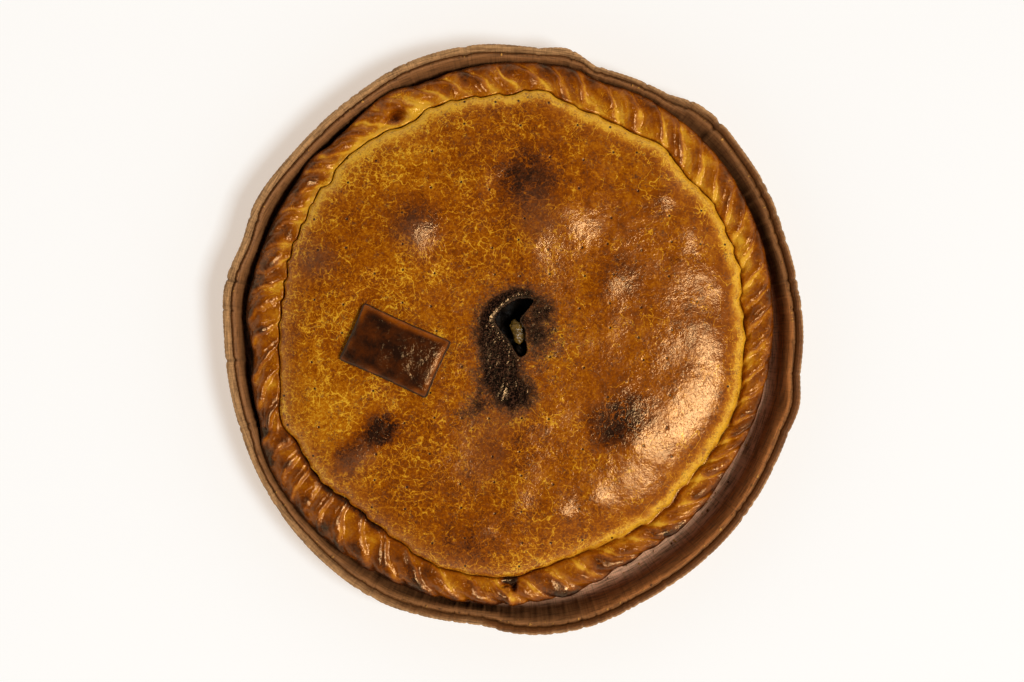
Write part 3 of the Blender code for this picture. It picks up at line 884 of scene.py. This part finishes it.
def paper_material():
    material, tree, shader, coords = new_material("baking_paper_board")
    grease_and_wall_light, fold, crumbs, floor = masks_of(tree)
    tones = colours()
    fibres = span(tree, speckle(tree, coords, 1.2 * MM, 4.0, 0.7), 0.3, 0.7)
    stains = speckle(tree, coords, 22 * MM, 4.0, 0.6)
    soaked = span(tree, total(tree, grease_and_wall_light, off_middle(tree, stains, 0.5)), 0.1, 0.55)
    dry = blend(tree, fibres, tones.paper, [c * 0.72 for c in tones.paper])
    wet = blend(tree, fibres, tones.greased, [c * 0.6 for c in tones.greased])
    wet = blend(tree, span(tree, grease_and_wall_light, 0.65, 0.80), wet, PAPER_WALL)
    # The lit wall colour at the lower right is painted light
    wet = blend(tree, span(tree, grease_and_wall_light, 0.85, 1.0), wet, PAPER_WALL_LIT)
    wet = blend(tree, times(tree, crumbs, 0.35), wet, CRUST_DUST)
    # Bright floor colour: painted light
    wet = blend(tree, floor, wet, blend(tree, stains, *LIT_FLOOR_TONES))
    colour = blend(tree, soaked, dry, wet)
    colour = blend(tree, times(tree, fold, 0.5), colour, PAPER_SHADE)
    streaks = speckle(tree, polar(tree, coords, 9 * MM, 0.7 * MM), 1.0, 3.0, 0.6)
    colour = blend(tree, span(tree, streaks, 0.42, 0.68, 0.0, 0.6), colour, PAPER_SHADE)
    rays = speckle(tree, polar(tree, coords, 0.6 * MM, 12 * MM), 1.0, 2.0, 0.6)
    colour = blend(tree, span(tree, rays, 0.45, 0.72, 0.0, 0.35), colour, PAPER_SHADE)
    specks = span(tree, speckle(tree, coords, 1.8 * MM, 3.0, 0.6), 0.66, 0.72)
    specks = times(tree, specks, span(tree, speckle(tree, coords, 30 * MM, 2.0), 0.48, 0.62), crumbs)
    wire(tree, blend(tree, specks, colour, CRUST_SPECKS), shader.inputs["Base Color"])
    shader.inputs["Specular IOR Level"].default_value = 0.1
    wire(tree, span(tree, soaked, 0.0, 1.0, 0.8, 0.55), shader.inputs["Roughness"])
    set_relief(tree, shader, uneven(tree, coords, 0.12 * MM, 0.8 * MM, 4.0, 0.7))
    return material


def filling_material():
    material, tree, shader, coords = new_material("dark_cuttlefish_filling")
    cloud = speckle(tree, coords, 5 * MM, 4.0, 0.6)
    wire(tree, blend(tree, span(tree, cloud, 0.4, 0.75), *INK), shader.inputs["Base Color"])
    wire(tree, span(tree, cloud, 0.3, 0.7, 0.3, 0.6), shader.inputs["Roughness"])
    shader.inputs["Specular IOR Level"].default_value = 0.05
    set_relief(tree, shader, uneven(tree, coords, 0.6 * MM, 2 * MM, 3.0))
    return material


def morsel_material():
    material, tree, shader, coords = new_material("soft_onion_and_cuttlefish")
    cloud = span(tree, speckle(tree, coords, 2.5 * MM, 4.0, 0.6), 0.35, 0.7)
    tone = colours().morsel
    wire(tree, blend(tree, cloud, tone, [c * 0.35 for c in tone]), shader.inputs["Base Color"])
    shader.inputs["Roughness"].default_value = 0.14
    set_relief(tree, shader, uneven(tree, coords, 0.9 * MM, 1.8 * MM, 3.0))
    return material


def crumb_material():
    material, tree, shader, coords = new_material("baked_crumbs")
    lot = span(tree, speckle(tree, coords, 4 * MM, 2.0), 0.35, 0.65)
    wire(tree, blend(tree, lot, *CRUMB_TONES), shader.inputs["Base Color"])
    shader.inputs["Roughness"].default_value = 0.7
    shader.inputs["Specular IOR Level"].default_value = 0.2
    return material


def table_material():
    """Matt white with a little light of its own, so that it stays white round the mould's shadow."""
    material, tree, shader, coords = new_material("white_table")
    tone = colours().table
    across = add_node(tree, "SeparateXYZ", {0: coords}).outputs[0]
    # Darker towards the right, where the lamp stands nearer: painted shade that evens out the lamp's
    # fall-off
    shade = blend(tree, span(tree, across, -0.3, 0.3), tone, [c * 0.90 for c in tone])
    wire(tree, shade, shader.inputs["Base Color"])
    shader.inputs["Emission Color"].default_value = opaque(TABLE_GLOW)
    shader.inputs["Emission Strength"].default_value = 0.56
    shader.inputs["Roughness"].default_value = 0.9
    shader.inputs["Specular IOR Level"].default_value = 0.0
    return material


# Pieces

class EMPANADA_OT_mould(bpy.types.Operator):
    """Models the pleated paper mould with its double-ridged rim."""

    bl_idname = "empanada.mould"
    bl_label = "Paper Mould"

    def execute(self, context):
        size = sizes()
        angles = np.arange(MOULD_SECTORS) * 360 / MOULD_SECTORS
        edge = mould_edge(angles)
        band = rim_band(angles)
        top = edge - band
        floor = np.full_like(edge, size.mould_floor_radius)
        level = np.ones_like(edge)
        half = size.paper * 0.5
        outline = [
            (floor - 40 * MM, level * half),
            (floor - 6.5 * MM, level * half),
            (floor - 2.6 * MM, level * (half + 0.5 * MM)),
            (floor + 0.1 * MM, level * (half + 3.2 * MM)),
            (floor + 0.5 * (top - floor), level * (size.mould_height * 0.5)),
            (top, level * (size.mould_height - 3.3 * MM)),
            (top + 0.22 * band, level * (size.mould_height - half - 0.5 * MM)),
            (top + 0.44 * band, level * (size.mould_height - 3.2 * MM)),
            (top + 0.70 * band, level * (size.mould_height - half)),
            (edge - half, level * (size.mould_height - 2.2 * MM)),
            (edge - half - 0.3 * MM, level * (size.mould_height - 4.3 * MM)),
        ]
        rows = smoothed(np.array(outline), [1, 2, 2, 3, 3, 3, 3, 4, 4, 3])
        radius, height = rows[:, 0].T, rows[:, 1].T
        pleat = self.pleats(angles)[:, None] * step(3 * MM, 12 * MM, height) * MM
        grid = turned_grid(radius + pleat, height + 0.4 * pleat, angles)
        masks = np.zeros((*grid.shape[:2], 4))
        free = step(272, 300, angles) + step(20, 0, angles)
        masks[..., 0] = 1 - step(top[:, None] + 1.0 * MM, top[:, None] + 5 * MM, radius)
        # At the lower right the inside wall's mask reaches 1, which gives it the lit wall colour: painted
        # light
        masks[..., 0] *= 0.84 + 0.16 * free[:, None]
        # The floor and the wall's foot get the bright floor colour: painted light
        masks[..., 3] = step(10 * MM, 3 * MM, height)
        rim = 0.36 + 0.34 * np.cos(np.radians(angles + 30)) + 0.1 * step(0.3, 1.0, -pleat[:, -1] / MM)
        brink = edge[:, None] - radius
        rim = rim[:, None] * (1 - 0.6 * step(2.2 * MM, 0.8 * MM, brink))
        masks[..., 0] = np.maximum(masks[..., 0], rim)
        masks[..., 1] = step(0.35, 0.75, -pleat / MM)
        bead = (top + 0.22 * band)[:, None]
        masks[..., 2] = np.exp(-((radius - bead) / (2.2 * MM)) ** 2)
        mould = sleeve("pleated_paper_mould", MOULD_SECTORS, grid.shape[1])
        sculpt(mould, grid, masks)
        self.fill_floor(mould)
        wall = mould.modifiers.new("paper", "SOLIDIFY")
        wall.thickness = size.paper
        wall.offset = 0.0
        bpy.ops.object.modifier_apply(modifier=wall.name)
        self.dry_outside(mould)
        finished(mould, paper_material(), "mould_paper", "paper_mould", smooth=50)
        return {"FINISHED"}

    def dry_outside(self, mould):
        """Keeps fat, crumbs and the painted light of the lit wall and floor to the inside: the paper's skins
        are two runs of vertices.
        """
        places = points_of(mould.data).reshape(2, -1, 3) - middle()
        radius = np.hypot(places[..., 0], places[..., 1])
        outer = int(np.argmax(radius.mean(axis=1)))
        masks = np.empty(len(mould.data.vertices) * 4)
        layer = mould.data.attributes["masks"]
        layer.data.foreach_get("color", masks)
        masks = masks.reshape(2, -1, 4)
        low = step(25 * MM, 20 * MM, places[outer, :, 2])
        masks[outer, :, 0] *= 1 - 0.8 * low
        masks[outer, :, 2:] *= (1 - low)[:, None]
        layer.data.foreach_set("color", masks.ravel())

    def pleats(self, angles):
        """Fine even pleats with deeper creases at random between them, in millimetres."""
        wave = 0.16 * np.abs(np.sin(np.radians(angles * 180))) - 0.08
        rng = np.random.default_rng(11)
        for place in rng.uniform(0, 360, CREASES):
            away = (angles - place + 180) % 360 - 180
            wave -= rng.uniform(0.2, 0.6) * np.exp(-(away / rng.uniform(0.25, 0.6)) ** 2)
        for place in np.arange(258, 296, 2.9):
            away = (angles - place + 180) % 360 - 180
            wave -= 0.45 * np.exp(-(away / 0.35) ** 2)
        return wave

    def fill_floor(self, mould):
        """Closes the floor at the sleeve's lowest ring, with its faces looking into the mould."""
        bpy.context.view_layer.objects.active = mould
        bpy.ops.object.mode_set(mode="EDIT")
        bpy.ops.mesh.select_mode(type="EDGE")
        bpy.ops.mesh.select_all(action="DESELECT")
        bpy.ops.object.mode_set(mode="OBJECT")
        inner = sizes().mould_floor_radius - 35 * MM
        centre = middle()
        for edge in mould.data.edges:
            places = [mould.data.vertices[i].co - Vector(centre) for i in edge.vertices]
            edge.select = all(place.xy.length < inner for place in places)
        bpy.ops.object.mode_set(mode="EDIT")
        bpy.ops.mesh.edge_face_add()
        bpy.ops.mesh.select_all(action="SELECT")
        bpy.ops.mesh.normals_make_consistent(inside=True)
        bpy.ops.object.mode_set(mode="OBJECT")


class EMPANADA_OT_border(bpy.types.Operator):
    """Models the bottom crust and its twisted border of slanted lobes."""

    bl_idname = "empanada.border"
    bl_label = "Bottom Crust and Border"

    def execute(self, context):
        size = sizes()
        angles = np.arange(BORDER_SECTORS) * 360 / BORDER_SECTORS
        edge, seam = pie_edge(angles), seam_edge(angles)
        mid, half = (edge + seam) / 2, (edge - seam) / 2
        low = size.paper + TOUCH_GAP
        foot = size.mould_floor_radius - WALL_GAP
        bend = size.border_top - 6.5 * MM
        rise = size.border_top - bend

        def row(radius, height, slant, weight):
            return [np.broadcast_to(value, angles.shape) for value in (radius, height, slant, weight)]

        outline = [
            row(60 * MM, low, 0, 0),
            row(np.minimum(edge - 6 * MM, foot - 5.5 * MM), low, 0, 0),
            row(np.minimum(edge - 3.6 * MM, foot), low + 3 * MM, 0, 0.1),
            row(np.minimum(edge - 2.4 * MM, foot + 1.2 * MM), bend - 6.5 * MM, 0.02, 0.25),
        ]
        arc = ((-20, 0.08, 0.45), (10, 0.2, 0.8), (40, 0.36, 1), (70, 0.52, 1), (100, 0.68, 1))
        for lean, slant, weight in arc:
            lean = math.radians(lean)
            outline.append(row(mid + half * math.cos(lean), bend + rise * math.sin(lean), slant, weight))
        outline += [
            row(mid - 0.72 * half, bend + 0.86 * rise, 0.84, 0.9),
            row(seam + 0.45 * MM, lid_edge_height(angles) + 0.3 * MM, 0.95, 0.5),
            row(seam + 0.1 * MM, lid_edge_height(angles) - 1.2 * MM, 1, 0.2),
            row(seam, LEDGE_HEIGHT, 1, 0),
            row(seam - LEDGE_WIDTH, LEDGE_HEIGHT, 1, 0),
            row(seam - LEDGE_WIDTH - 0.8 * MM, low + BOTTOM_CRUST, 1, 0),
            row(60 * MM, low + BOTTOM_CRUST, 1, 0),
        ]
        rows = smoothed(np.array(outline), [1, 2, 3, 3, 5, 6, 6, 6, 6, 5, 4, 2, 1, 1, 1])
        radius, height, slant, weight = (rows[:, i].T for i in range(4))
        grid = turned_grid(radius, height, angles)
        wander = self.unruly(angles)[:, None] * (lumps(grid, 13 * MM, 1) + 0.3 * lumps(grid, 5 * MM, 15))
        lobe, share = np.divmod(lobes_passed(angles)[:, None] + 1.5 * slant - 0.5 + wander, 1)
        lobe = lobe.astype(int) % LOBES
        swell, crease, cleft, fold = self.lobe_swell(lobe, share)
        reach = 0.24 * stretch(angles, 215, 245, 300, 330)[:, None]
        weight = weight * (0.12 + 0.88 * step(0.10, 0.46, slant + reach + 0.12 * lumps(grid, 8 * MM, 19)))
        groove = weight * (1 - swell)
        depth = size.lobe_depth * groove * self.relief(angles)[:, None]
        bumps = weight * (0.5 * lumps(grid, 6 * MM, 2) + 0.2 * lumps(grid, 2.2 * MM, 3)) * MM
        hollows = patches(grid[..., 0], grid[..., 1], HOLLOWS) * weight * MM
        move = bumps - depth - weight * fold * 0.5 * MM + hollows
        out = np.stack((radius - mid[:, None], height - bend + 3 * MM), axis=2)
        out /= np.linalg.norm(out, axis=2, keepdims=True)
        grid = turned_grid(radius + move * out[..., 0], height + move * out[..., 1], angles)
        masks = np.zeros((*grid.shape[:2], 4))
        masks[..., 0] = groove
        masks[..., 1] = weight * np.maximum(crease, 0.5 * fold) * (0.65 + 0.7 * lumps(grid, 7 * MM, 16))
        ragged = slant + 0.16 * lumps(grid, 7 * MM, 20)
        masks[..., 2] = 0.30 * step(0.46, 0.14, ragged) - 0.22 * step(0.60, 0.92, ragged)
        # The cleft between lobes is a little darker: painted shade in the crease
        masks[..., 2] += weight * (0.24 * (swell - 0.5) + 0.20 * (self.lot(5)[lobe] - 0.5) + 0.08 * cleft)
        masks[..., 2] += self.stains(grid, angles) + self.baked(angles)[:, None]
        masks[..., 2] += 0.26 * lumps(grid, 9 * MM, 18)
        masks[..., 3] = self.bare_side(angles)[:, None] * step(0.30, 0.02, slant)
        border = sleeve("twisted_border_crust", BORDER_SECTORS, grid.shape[1])
        sculpt(border, grid, masks)
        close_ends(border)
        finished(border, border_material(), "border_crust", "bottom_crust", smooth=70)
        return {"FINISHED"}

    def lot(self, seed):
        return np.random.default_rng(seed).uniform(0, 1, LOBES)

    def lobe_swell(self, lobe, share):
        """Height across each lobe from 0 to 1, with masks of its ridge, its cleft and, on some, a fold."""
        turned = np.cos(np.radians(lobe * 360 / LOBES - 30))
        tall = 0.66 + 0.34 * self.lot(1)[lobe]
        lean = 0.50 - 0.24 * turned + 0.16 * (self.lot(2)[lobe] - 0.5)
        rise = np.sin(np.minimum(share / lean, 1) * math.pi / 2) ** 1.25
        fall = np.cos(np.clip((share - lean) / (1 - lean), 0, 1) * math.pi / 2) ** 0.9
        ridge = np.where(turned > 0, 0.10, 0.88)
        crease = np.exp(-((share - ridge) / 0.07) ** 2)
        cleft = np.exp(-(np.minimum(share, 1 - share) / 0.035) ** 2)
        place = 0.35 + 0.3 * self.lot(3)[lobe]
        fold = (self.lot(4)[lobe] > 0.45) * np.exp(-((share - place) / 0.05) ** 2)
        return rise * fall * tall, crease, cleft, fold

    def stains(self, grid, angles):
        """Caramel that leaked along the seam at the lower left, pale dough at the upper left, and spots:
        pale dough on the flaps, and painted shade in the hollows.
        """
        inner = np.hypot(grid[..., 0], grid[..., 1]) - seam_edge(angles)[:, None]
        leak = stretch(angles, 200, 208, 234, 241)[:, None]
        caramel = 0.42 * leak * step(3.4 * MM, 1.2 * MM, inner)
        joined = stretch(angles, 108, 120, 146, 156)[:, None]
        pale = 0.30 * joined * step(4.5 * MM, 1.5 * MM, inner)
        return caramel - pale + patches(grid[..., 0], grid[..., 1], STAINS_AND_HOLLOW_SHADE)

    def baked(self, angles):
        """The left and the bottom have baked darker than the right and the top."""
        return 0.14 * stretch(angles, 120, 165, 262, 285) + 0.07 * stretch(angles, 255, 270, 305, 330) - 0.03

    def unruly(self, angles):
        """How far the lobes wander: most at the upper left, where the twist has smeared in the oven."""
        return 0.20 + 0.16 * stretch(angles, 100, 130, 190, 240)

    def relief(self, angles):
        """The grooves are shallower on the left, where the twist was pressed flatter."""
        return 1 - 0.35 * stretch(angles, 120, 150, 245, 275)

    def bare_side(self, angles):
        """Stretches of the border's outside that the glaze missed."""
        right = stretch(angles, 50, 70, 110, 128)
        left = stretch(angles, 190, 205, 255, 275)
        return 0.15 + 0.85 * np.maximum(right, left)


class EMPANADA_OT_lid(bpy.types.Operator):
    """Models the domed lid with its blisters, its rounded edge and its torn steam vent."""

    bl_idname = "empanada.lid"
    bl_label = "Lid"

    def execute(self, context):
        angles = np.arange(LID_SECTORS) * 360 / LID_SECTORS
        turn = np.radians(angles)
        reach = lid_edge(angles)
        outer = np.stack((reach * np.cos(turn), reach * np.sin(turn)), axis=1)
        vent = vent_loop(LID_SECTORS)
        run = np.linalg.norm(outer - vent, axis=1)[:, None]
        share = self.ring_shares()
        flat = vent[:, None] + (outer - vent)[:, None] * share[None, :, None]
        x, y = flat[..., 0], flat[..., 1]
        height = lid_height(x, y)
        place = np.stack((x, y, height), axis=2)
        near = share[None] * run
        inside = 1 - step(0.97, 1.0, lid_share(x, y))
        height = height + (0.60 * lumps(place, 24 * MM, 4) + 0.16 * lumps(place, 10 * MM, 5)) * MM * inside
        height = height + 0.06 * MM * lumps(place, 3.8 * MM, 6) * inside
        charred = step(0.2, 0.8, patches(x, y, CHAR)) * step(0, 1.5 * MM, near)
        height = height + 0.12 * MM * lumps(place, 1.5 * MM, 7) * charred
        lip = stretch(angles, 80, 110, 170, 215)
        height = height + (0.40 * lip)[:, None] * MM * np.exp(-((near - 3 * MM) / (2.4 * MM)) ** 2)
        height = height - 1.3 * MM * np.exp(-near / (0.7 * MM))
        height = height - 0.5 * MM * np.exp(-(np.hypot(x + 1.5 * MM, y + 28 * MM) / (3.2 * MM)) ** 2)
        top = np.stack((x, y, height), axis=2)
        grid = np.concatenate((top, self.underside(outer, vent, top)), axis=1)
        masks = np.zeros((*grid.shape[:2], 4))
        gx, gy = grid[..., 0], grid[..., 1]
        out = lid_share(gx, gy)
        masks[..., 0] = patches(gx, gy, PATCHES)
        masks[..., 1] = patches(gx, gy, CHAR)
        ragged = out + 0.010 * lumps(grid, 5 * MM, 22) + 0.006 * lumps(grid, 1.8 * MM, 23)
        masks[..., 2] = step(0.930, 0.982, ragged) * self.pale_edge(angles)[:, None]
        masks[..., 3] = np.clip(patches(gx, gy, HAZE), 0, 0.6)
        lid = sleeve("glazed_lid", LID_SECTORS, grid.shape[1])
        sculpt(lid, grid, masks)
        close_ends(lid, join=True)
        finished(lid, lid_material(), "lid_crust", "lid", smooth=70)
        return {"FINISHED"}

    def ring_shares(self):
        """Rings from the vent out to the edge: close together at the vent and at the rounded edge."""
        length, gap, places = 113.0, 0.24, [0.0]
        while places[-1] + gap < length - 5:
            places.append(places[-1] + gap)
            gap = min(gap * 1.036, 1.2)
        places += [length - rest for rest in (4.2, 3.2, 2.4, 1.7, 1.1, 0.65, 0.3, 0.1, 0.0)]
        return np.array(places) / length

    def underside(self, outer, vent, top):
        """Rings down the lid's side, back under it and up the vent's torn wall."""
        rest = LEDGE_HEIGHT + 0.1 * MM + TOUCH_GAP
        rim = top[:, -1]
        rings = []
        for share, height in ((1.0, 0.5), (0.999, 0.15)):
            level = rest + (rim[:, 2] - rest) * height
            rings.append(np.column_stack((outer * share, level)))
        for share in (0.99, 0.95, 0.8, 0.5):
            flat = outer * share if share > 0.9 else vent + (outer - vent) * (share - 0.05)
            rings.append(np.column_stack((flat, lid_under(lid_share(flat[:, 0], flat[:, 1])))))
        ragged = lumps(top[:, 0], 1.6 * MM, 8) * MM
        for away, down in ((0.022, 1.0), (0.012, 0.7), (0.005, 0.4), (0.001, 0.15)):
            flat = vent + (outer - vent) * away
            low = lid_under(lid_share(flat[:, 0], flat[:, 1]))
            level = top[:, 0, 2] + (low - top[:, 0, 2]) * down
            flat = flat + (outer - vent) * (0.004 * ragged / MM * down * (1 - down) * 4)[:, None]
            rings.append(np.column_stack((flat, level)))
        return np.stack(rings, axis=1)

    def pale_edge(self, angles):
        """How pale the lid's edge is: most where it stands free of the border at the lower right."""
        lower = np.maximum(step(275, 300, angles), step(160, 140, angles))
        return 0.20 + 0.80 * lower


class EMPANADA_OT_filling(bpy.types.Operator):
    """Models the dark filling under the lid and the morsels that show in the vent."""

    bl_idname = "empanada.filling"
    bl_label = "Filling"

    def execute(self, context):
        angles = np.arange(FILLING_SECTORS) * 360 / FILLING_SECTORS
        reach = seam_edge(angles)[:, None] - 5.0 * MM
        low = sizes().paper + TOUCH_GAP + BOTTOM_CRUST + TOUCH_GAP
        share = np.concatenate(([0.4, 1.0], np.linspace(1.0, 0.02, 44) ** 1.4))
        radius = reach * share
        height = lid_under(radius / (reach + 4.2 * MM)) - 0.9 * MM
        height = height - 9.0 * MM * step(0.34, 0.08, share)
        height[:, :2] = low
        grid = turned_grid(radius, height, angles)
        grid[:, 3:, 2] += 1.1 * MM * lumps(grid[:, 3:], 6 * MM, 9)
        filling = sleeve("dark_filling", FILLING_SECTORS, grid.shape[1])
        sculpt(filling, grid)
        close_ends(filling)
        finished(filling, filling_material(), "filling", "filling", smooth=60)
        self.add_morsel("golden_morsel", (3.0, 4.0, -64, 12.5, 6.4, 5, 35.6), morsel_material(), 0)
        self.add_morsel("lower_morsel", (4.6, -6.0, -50, 7, 4, 4, 33.0), filling.data.materials[0], 1)
        return {"FINISHED"}

    def add_morsel(self, name, measures, material, seed):
        """Adds a lump by its place, turn in degrees, three sizes and top, in millimetres."""
        x, y, turn, length, width, height, top = measures
        centre = middle()
        bpy.ops.object.select_all(action="DESELECT")
        bpy.ops.mesh.primitive_ico_sphere_add(subdivisions=5, radius=0.5, location=(0, 0, 0))
        morsel = named(name)
        points = points_of(morsel.data) * 2
        points = np.sign(points) * np.abs(points) ** 0.8
        swell = 1 + 0.26 * lumps(points, 0.9, 20 + seed) + 0.05 * lumps(points, 0.3, 30 + seed)
        points *= swell[:, None]
        points *= np.array([length, width, height]) * 0.5 * MM
        c, s = math.cos(math.radians(turn)), math.sin(math.radians(turn))
        points = points @ np.array([[c, s, 0], [-s, c, 0], [0, 0, 1]])
        points += np.array([x * MM + centre[0], y * MM + centre[1], (top - height / 2) * MM])
        move_points(morsel.data, points)
        finished(morsel, material, "filling", smooth=60)


class EMPANADA_OT_tag(bpy.types.Operator):
    """Models the small pillow of dough that is baked onto the lid."""

    bl_idname = "empanada.tag"
    bl_label = "Dough Tag"

    def execute(self, context):
        bpy.ops.object.select_all(action="DESELECT")
        bpy.ops.mesh.primitive_cube_add(size=1, location=(0, 0, 0), scale=(1, 1, 1))
        tag = named("glazed_dough_tag")
        bpy.ops.object.mode_set(mode="EDIT")
        bpy.ops.mesh.select_all(action="SELECT")
        bpy.ops.mesh.subdivide(number_cuts=47)
        bpy.ops.object.mode_set(mode="OBJECT")
        self.shape(tag)
        finished(tag, tag_material(), "tag_crust", "dough_tag", smooth=60)
        return {"FINISHED"}

    def shape(self, tag):
        """Rounds the block into a pillow, bends it to the lid, paints its rim and paints shade on its sides
        and outermost edge.
        """
        u, v, w = (points_of(tag.data) * 2).T
        across = 1 - 0.025 * (1 - v**2) - 0.012 * np.maximum(w, 0) ** 3
        along = 1 - 0.035 * (1 - u**2) - 0.016 * np.maximum(w, 0) ** 3
        corner = 1 - 0.03 * (np.abs(u) ** 16) * (np.abs(v) ** 16)
        x = u * across * corner * TAG_LENGTH / 2
        y = v * along * corner * TAG_WIDTH / 2
        bulge = 1 - 0.12 * u**2 - 0.14 * np.abs(u) ** 6 - 0.18 * v**2 - 0.16 * np.abs(v) ** 5
        bulge -= 0.12 * np.maximum(np.abs(u) ** 26, np.abs(v) ** 18)
        z = (w + 1) / 2 * TAG_THICKNESS * bulge
        place = np.stack((x, y, z), axis=1)
        top = step(0.2, 1.0, w)
        z = z + 0.35 * MM * lumps(place, 8 * MM, 12) * top + 0.12 * MM * lumps(place, 2.2 * MM, 13) * top
        sides = 0.35 * MM * lumps(place, 2.4 * MM, 14) * (1 - np.abs(w))
        x = x + sides * np.sign(u) * (np.abs(u) > 0.98)
        y = y + sides * np.sign(v) * (np.abs(v) > 0.98)
        c, s = math.cos(math.radians(TAG_TURN)), math.sin(math.radians(TAG_TURN))
        px = x * c - y * s + TAG_PLACE[0] * MM
        py = x * s + y * c + TAG_PLACE[1] * MM
        pz = z + lid_height(px, py) + 0.2 * MM
        move_points(tag.data, np.stack((px, py, pz), axis=1) + middle())
        masks = np.zeros((len(u), 4))
        # Sides darker on their lower part: painted shade where the tag meets the lid
        masks[:, 0] = step(0.7, 0.0, w)
        far = np.maximum(np.abs(u) ** 1.5, np.abs(v)) + 0.03 * lumps(place, 5 * MM, 17)
        masks[:, 1] = step(0.70, 0.92, far)
        masks[:, 1] *= 0.45 + 0.25 * np.clip(u + v, -1, 1) + 0.6 * lumps(place, 9 * MM, 24)
        # Outermost edge darker too: painted shade
        masks[:, 0] = np.maximum(masks[:, 0], step(0.965, 1.0, far))
        paint(tag.data, masks)


class EMPANADA_OT_crumbs(bpy.types.Operator):
    """Models one crumb and scatters its copies over the mould's floor and its rim."""

    bl_idname = "empanada.crumbs"
    bl_label = "Crumbs"

    def execute(self, context):
        rng = np.random.default_rng(21)
        floor = sizes().paper + 0.2 * MM
        places = []
        for angle in rng.uniform(286, 338, FLOOR_CRUMBS):
            wall = sizes().mould_floor_radius - 1.0 * MM
            places.append((angle, rng.uniform(pie_edge(angle) + 0.4 * MM, wall), floor))
        for angle in rng.uniform(0, 360, RIM_CRUMBS):
            bead = mould_edge(angle) - 0.78 * rim_band(angle)
            places.append((angle, bead, sizes().mould_height - 0.5 * MM))
        bpy.ops.object.select_all(action="DESELECT")
        bpy.ops.mesh.primitive_ico_sphere_add(subdivisions=2, radius=0.5, location=(0, 0, 0))
        crumb = named("crumbs")
        shape = points_of(crumb.data)
        shape *= 1 + 0.5 * lumps(shape, 0.5, 40)[:, None]
        bpy.ops.object.mode_set(mode="EDIT")
        bpy.ops.mesh.select_all(action="SELECT")
        for _ in places[1:]:
            bpy.ops.mesh.duplicate()
        bpy.ops.object.mode_set(mode="OBJECT")
        everything = []
        for angle, radius, height in places:
            size = rng.uniform(0.5, 1.5, 3) * MM
            turn = math.radians(angle)
            place = np.array((radius * math.cos(turn), radius * math.sin(turn), height + size[2] * 0.35))
            everything.append(shape * size + place + middle())
        move_points(crumb.data, np.concatenate(everything))
        finished(crumb, crumb_material(), "border_crust", smooth=60)
        return {"FINISHED"}


class EMPANADA_OT_stage(bpy.types.Operator):
    """Adds the white table, the light, the surroundings and the camera that looks straight down."""

    bl_idname = "empanada.stage"
    bl_label = "Stage"

    def execute(self, context):
        bpy.ops.object.select_all(action="DESELECT")
        bpy.ops.mesh.primitive_plane_add(size=6, location=(0, 0, -0.2 * MM))
        table = named("white_table")
        table.data.materials.append(table_material())
        self.add_light("key", place=(1.34, -0.56, 2.78), size=0.9, power=74.0, colour=(1.0, 0.95, 0.88))
        self.add_world()
        self.add_camera()
        bpy.context.scene.view_settings.view_transform = "Standard"
        return {"FINISHED"}

    def add_world(self):
        """Even white surroundings, dark only straight above so that they don't veil the glaze."""
        world = bpy.data.worlds.new("studio")
        world.use_nodes = True
        tree = world.node_tree
        heading = add_node(tree, "TexCoord").outputs["Generated"]
        height = add_node(tree, "SeparateXYZ", {0: heading}).outputs[2]
        strength = span(tree, height, 0.25, 0.90, 0.98, 0.0, smooth=False)
        tree.nodes["Background"].inputs["Color"].default_value = (1, 0.99, 0.97, 1)
        wire(tree, strength, tree.nodes["Background"].inputs["Strength"])
        bpy.context.scene.world = world

    def add_light(self, name, place, size, power, colour):
        bpy.ops.object.light_add(type="AREA", location=place)
        light = bpy.context.active_object
        light.name = name
        light.data.size = size
        light.data.energy = power
        light.data.color = colour
        light.rotation_euler = (-Vector(place)).to_track_quat("-Z", "Y").to_euler()

    def add_camera(self):
        """Camera straight above, at the height at which the rim is as wide as in the photograph."""
        x, y, _ = middle()
        place = (x, y - CAMERA_SHIFT, CAMERA_HEIGHT)
        bpy.ops.object.camera_add(location=place, rotation=(0, 0, 0))
        camera = bpy.context.active_object
        camera.data.lens = 85
        camera.data.sensor_width = 36
        camera.data.clip_start = 0.01
        bpy.context.scene.camera = camera


class EMPANADA_PT_panel(bpy.types.Panel):
    """Sizes, colours and pieces of the empanada."""

    bl_idname = "EMPANADA_PT_panel"
    bl_label = "Empanada"
    bl_space_type = "VIEW_3D"
    bl_region_type = "UI"
    bl_category = "Empanada"

    def draw(self, context):
        for group in (context.scene.empanada_sizes, context.scene.empanada_colours):
            column = self.layout.column(align=True)
            for name in group.__annotations__:
                column.prop(group, name)
        column = self.layout.column(align=True)
        for piece in PIECES:
            column.operator(piece.bl_idname)


PIECES = (
    EMPANADA_OT_mould, EMPANADA_OT_border, EMPANADA_OT_filling, EMPANADA_OT_lid, EMPANADA_OT_tag,
    EMPANADA_OT_crumbs, EMPANADA_OT_stage,
)
CLASSES = (EmpanadaSizes, EmpanadaColours, *PIECES, EMPANADA_PT_panel)


def register():
    for item in CLASSES:
        bpy.utils.register_class(item)
    bpy.types.Scene.empanada_sizes = bpy.props.PointerProperty(type=EmpanadaSizes)
    bpy.types.Scene.empanada_colours = bpy.props.PointerProperty(type=EmpanadaColours)


def unregister():
    del bpy.types.Scene.empanada_colours
    del bpy.types.Scene.empanada_sizes
    for item in reversed(CLASSES):
        bpy.utils.unregister_class(item)


def main():
    register()
    build_bake_group()
    build_vein_group()
    build_crack_group()
    bpy.ops.empanada.mould()
    bpy.ops.empanada.border()
    bpy.ops.empanada.filling()
    bpy.ops.empanada.lid()
    bpy.ops.empanada.tag()
    bpy.ops.empanada.crumbs()
    bpy.ops.empanada.stage()


if __name__ == "__main__":
    main()
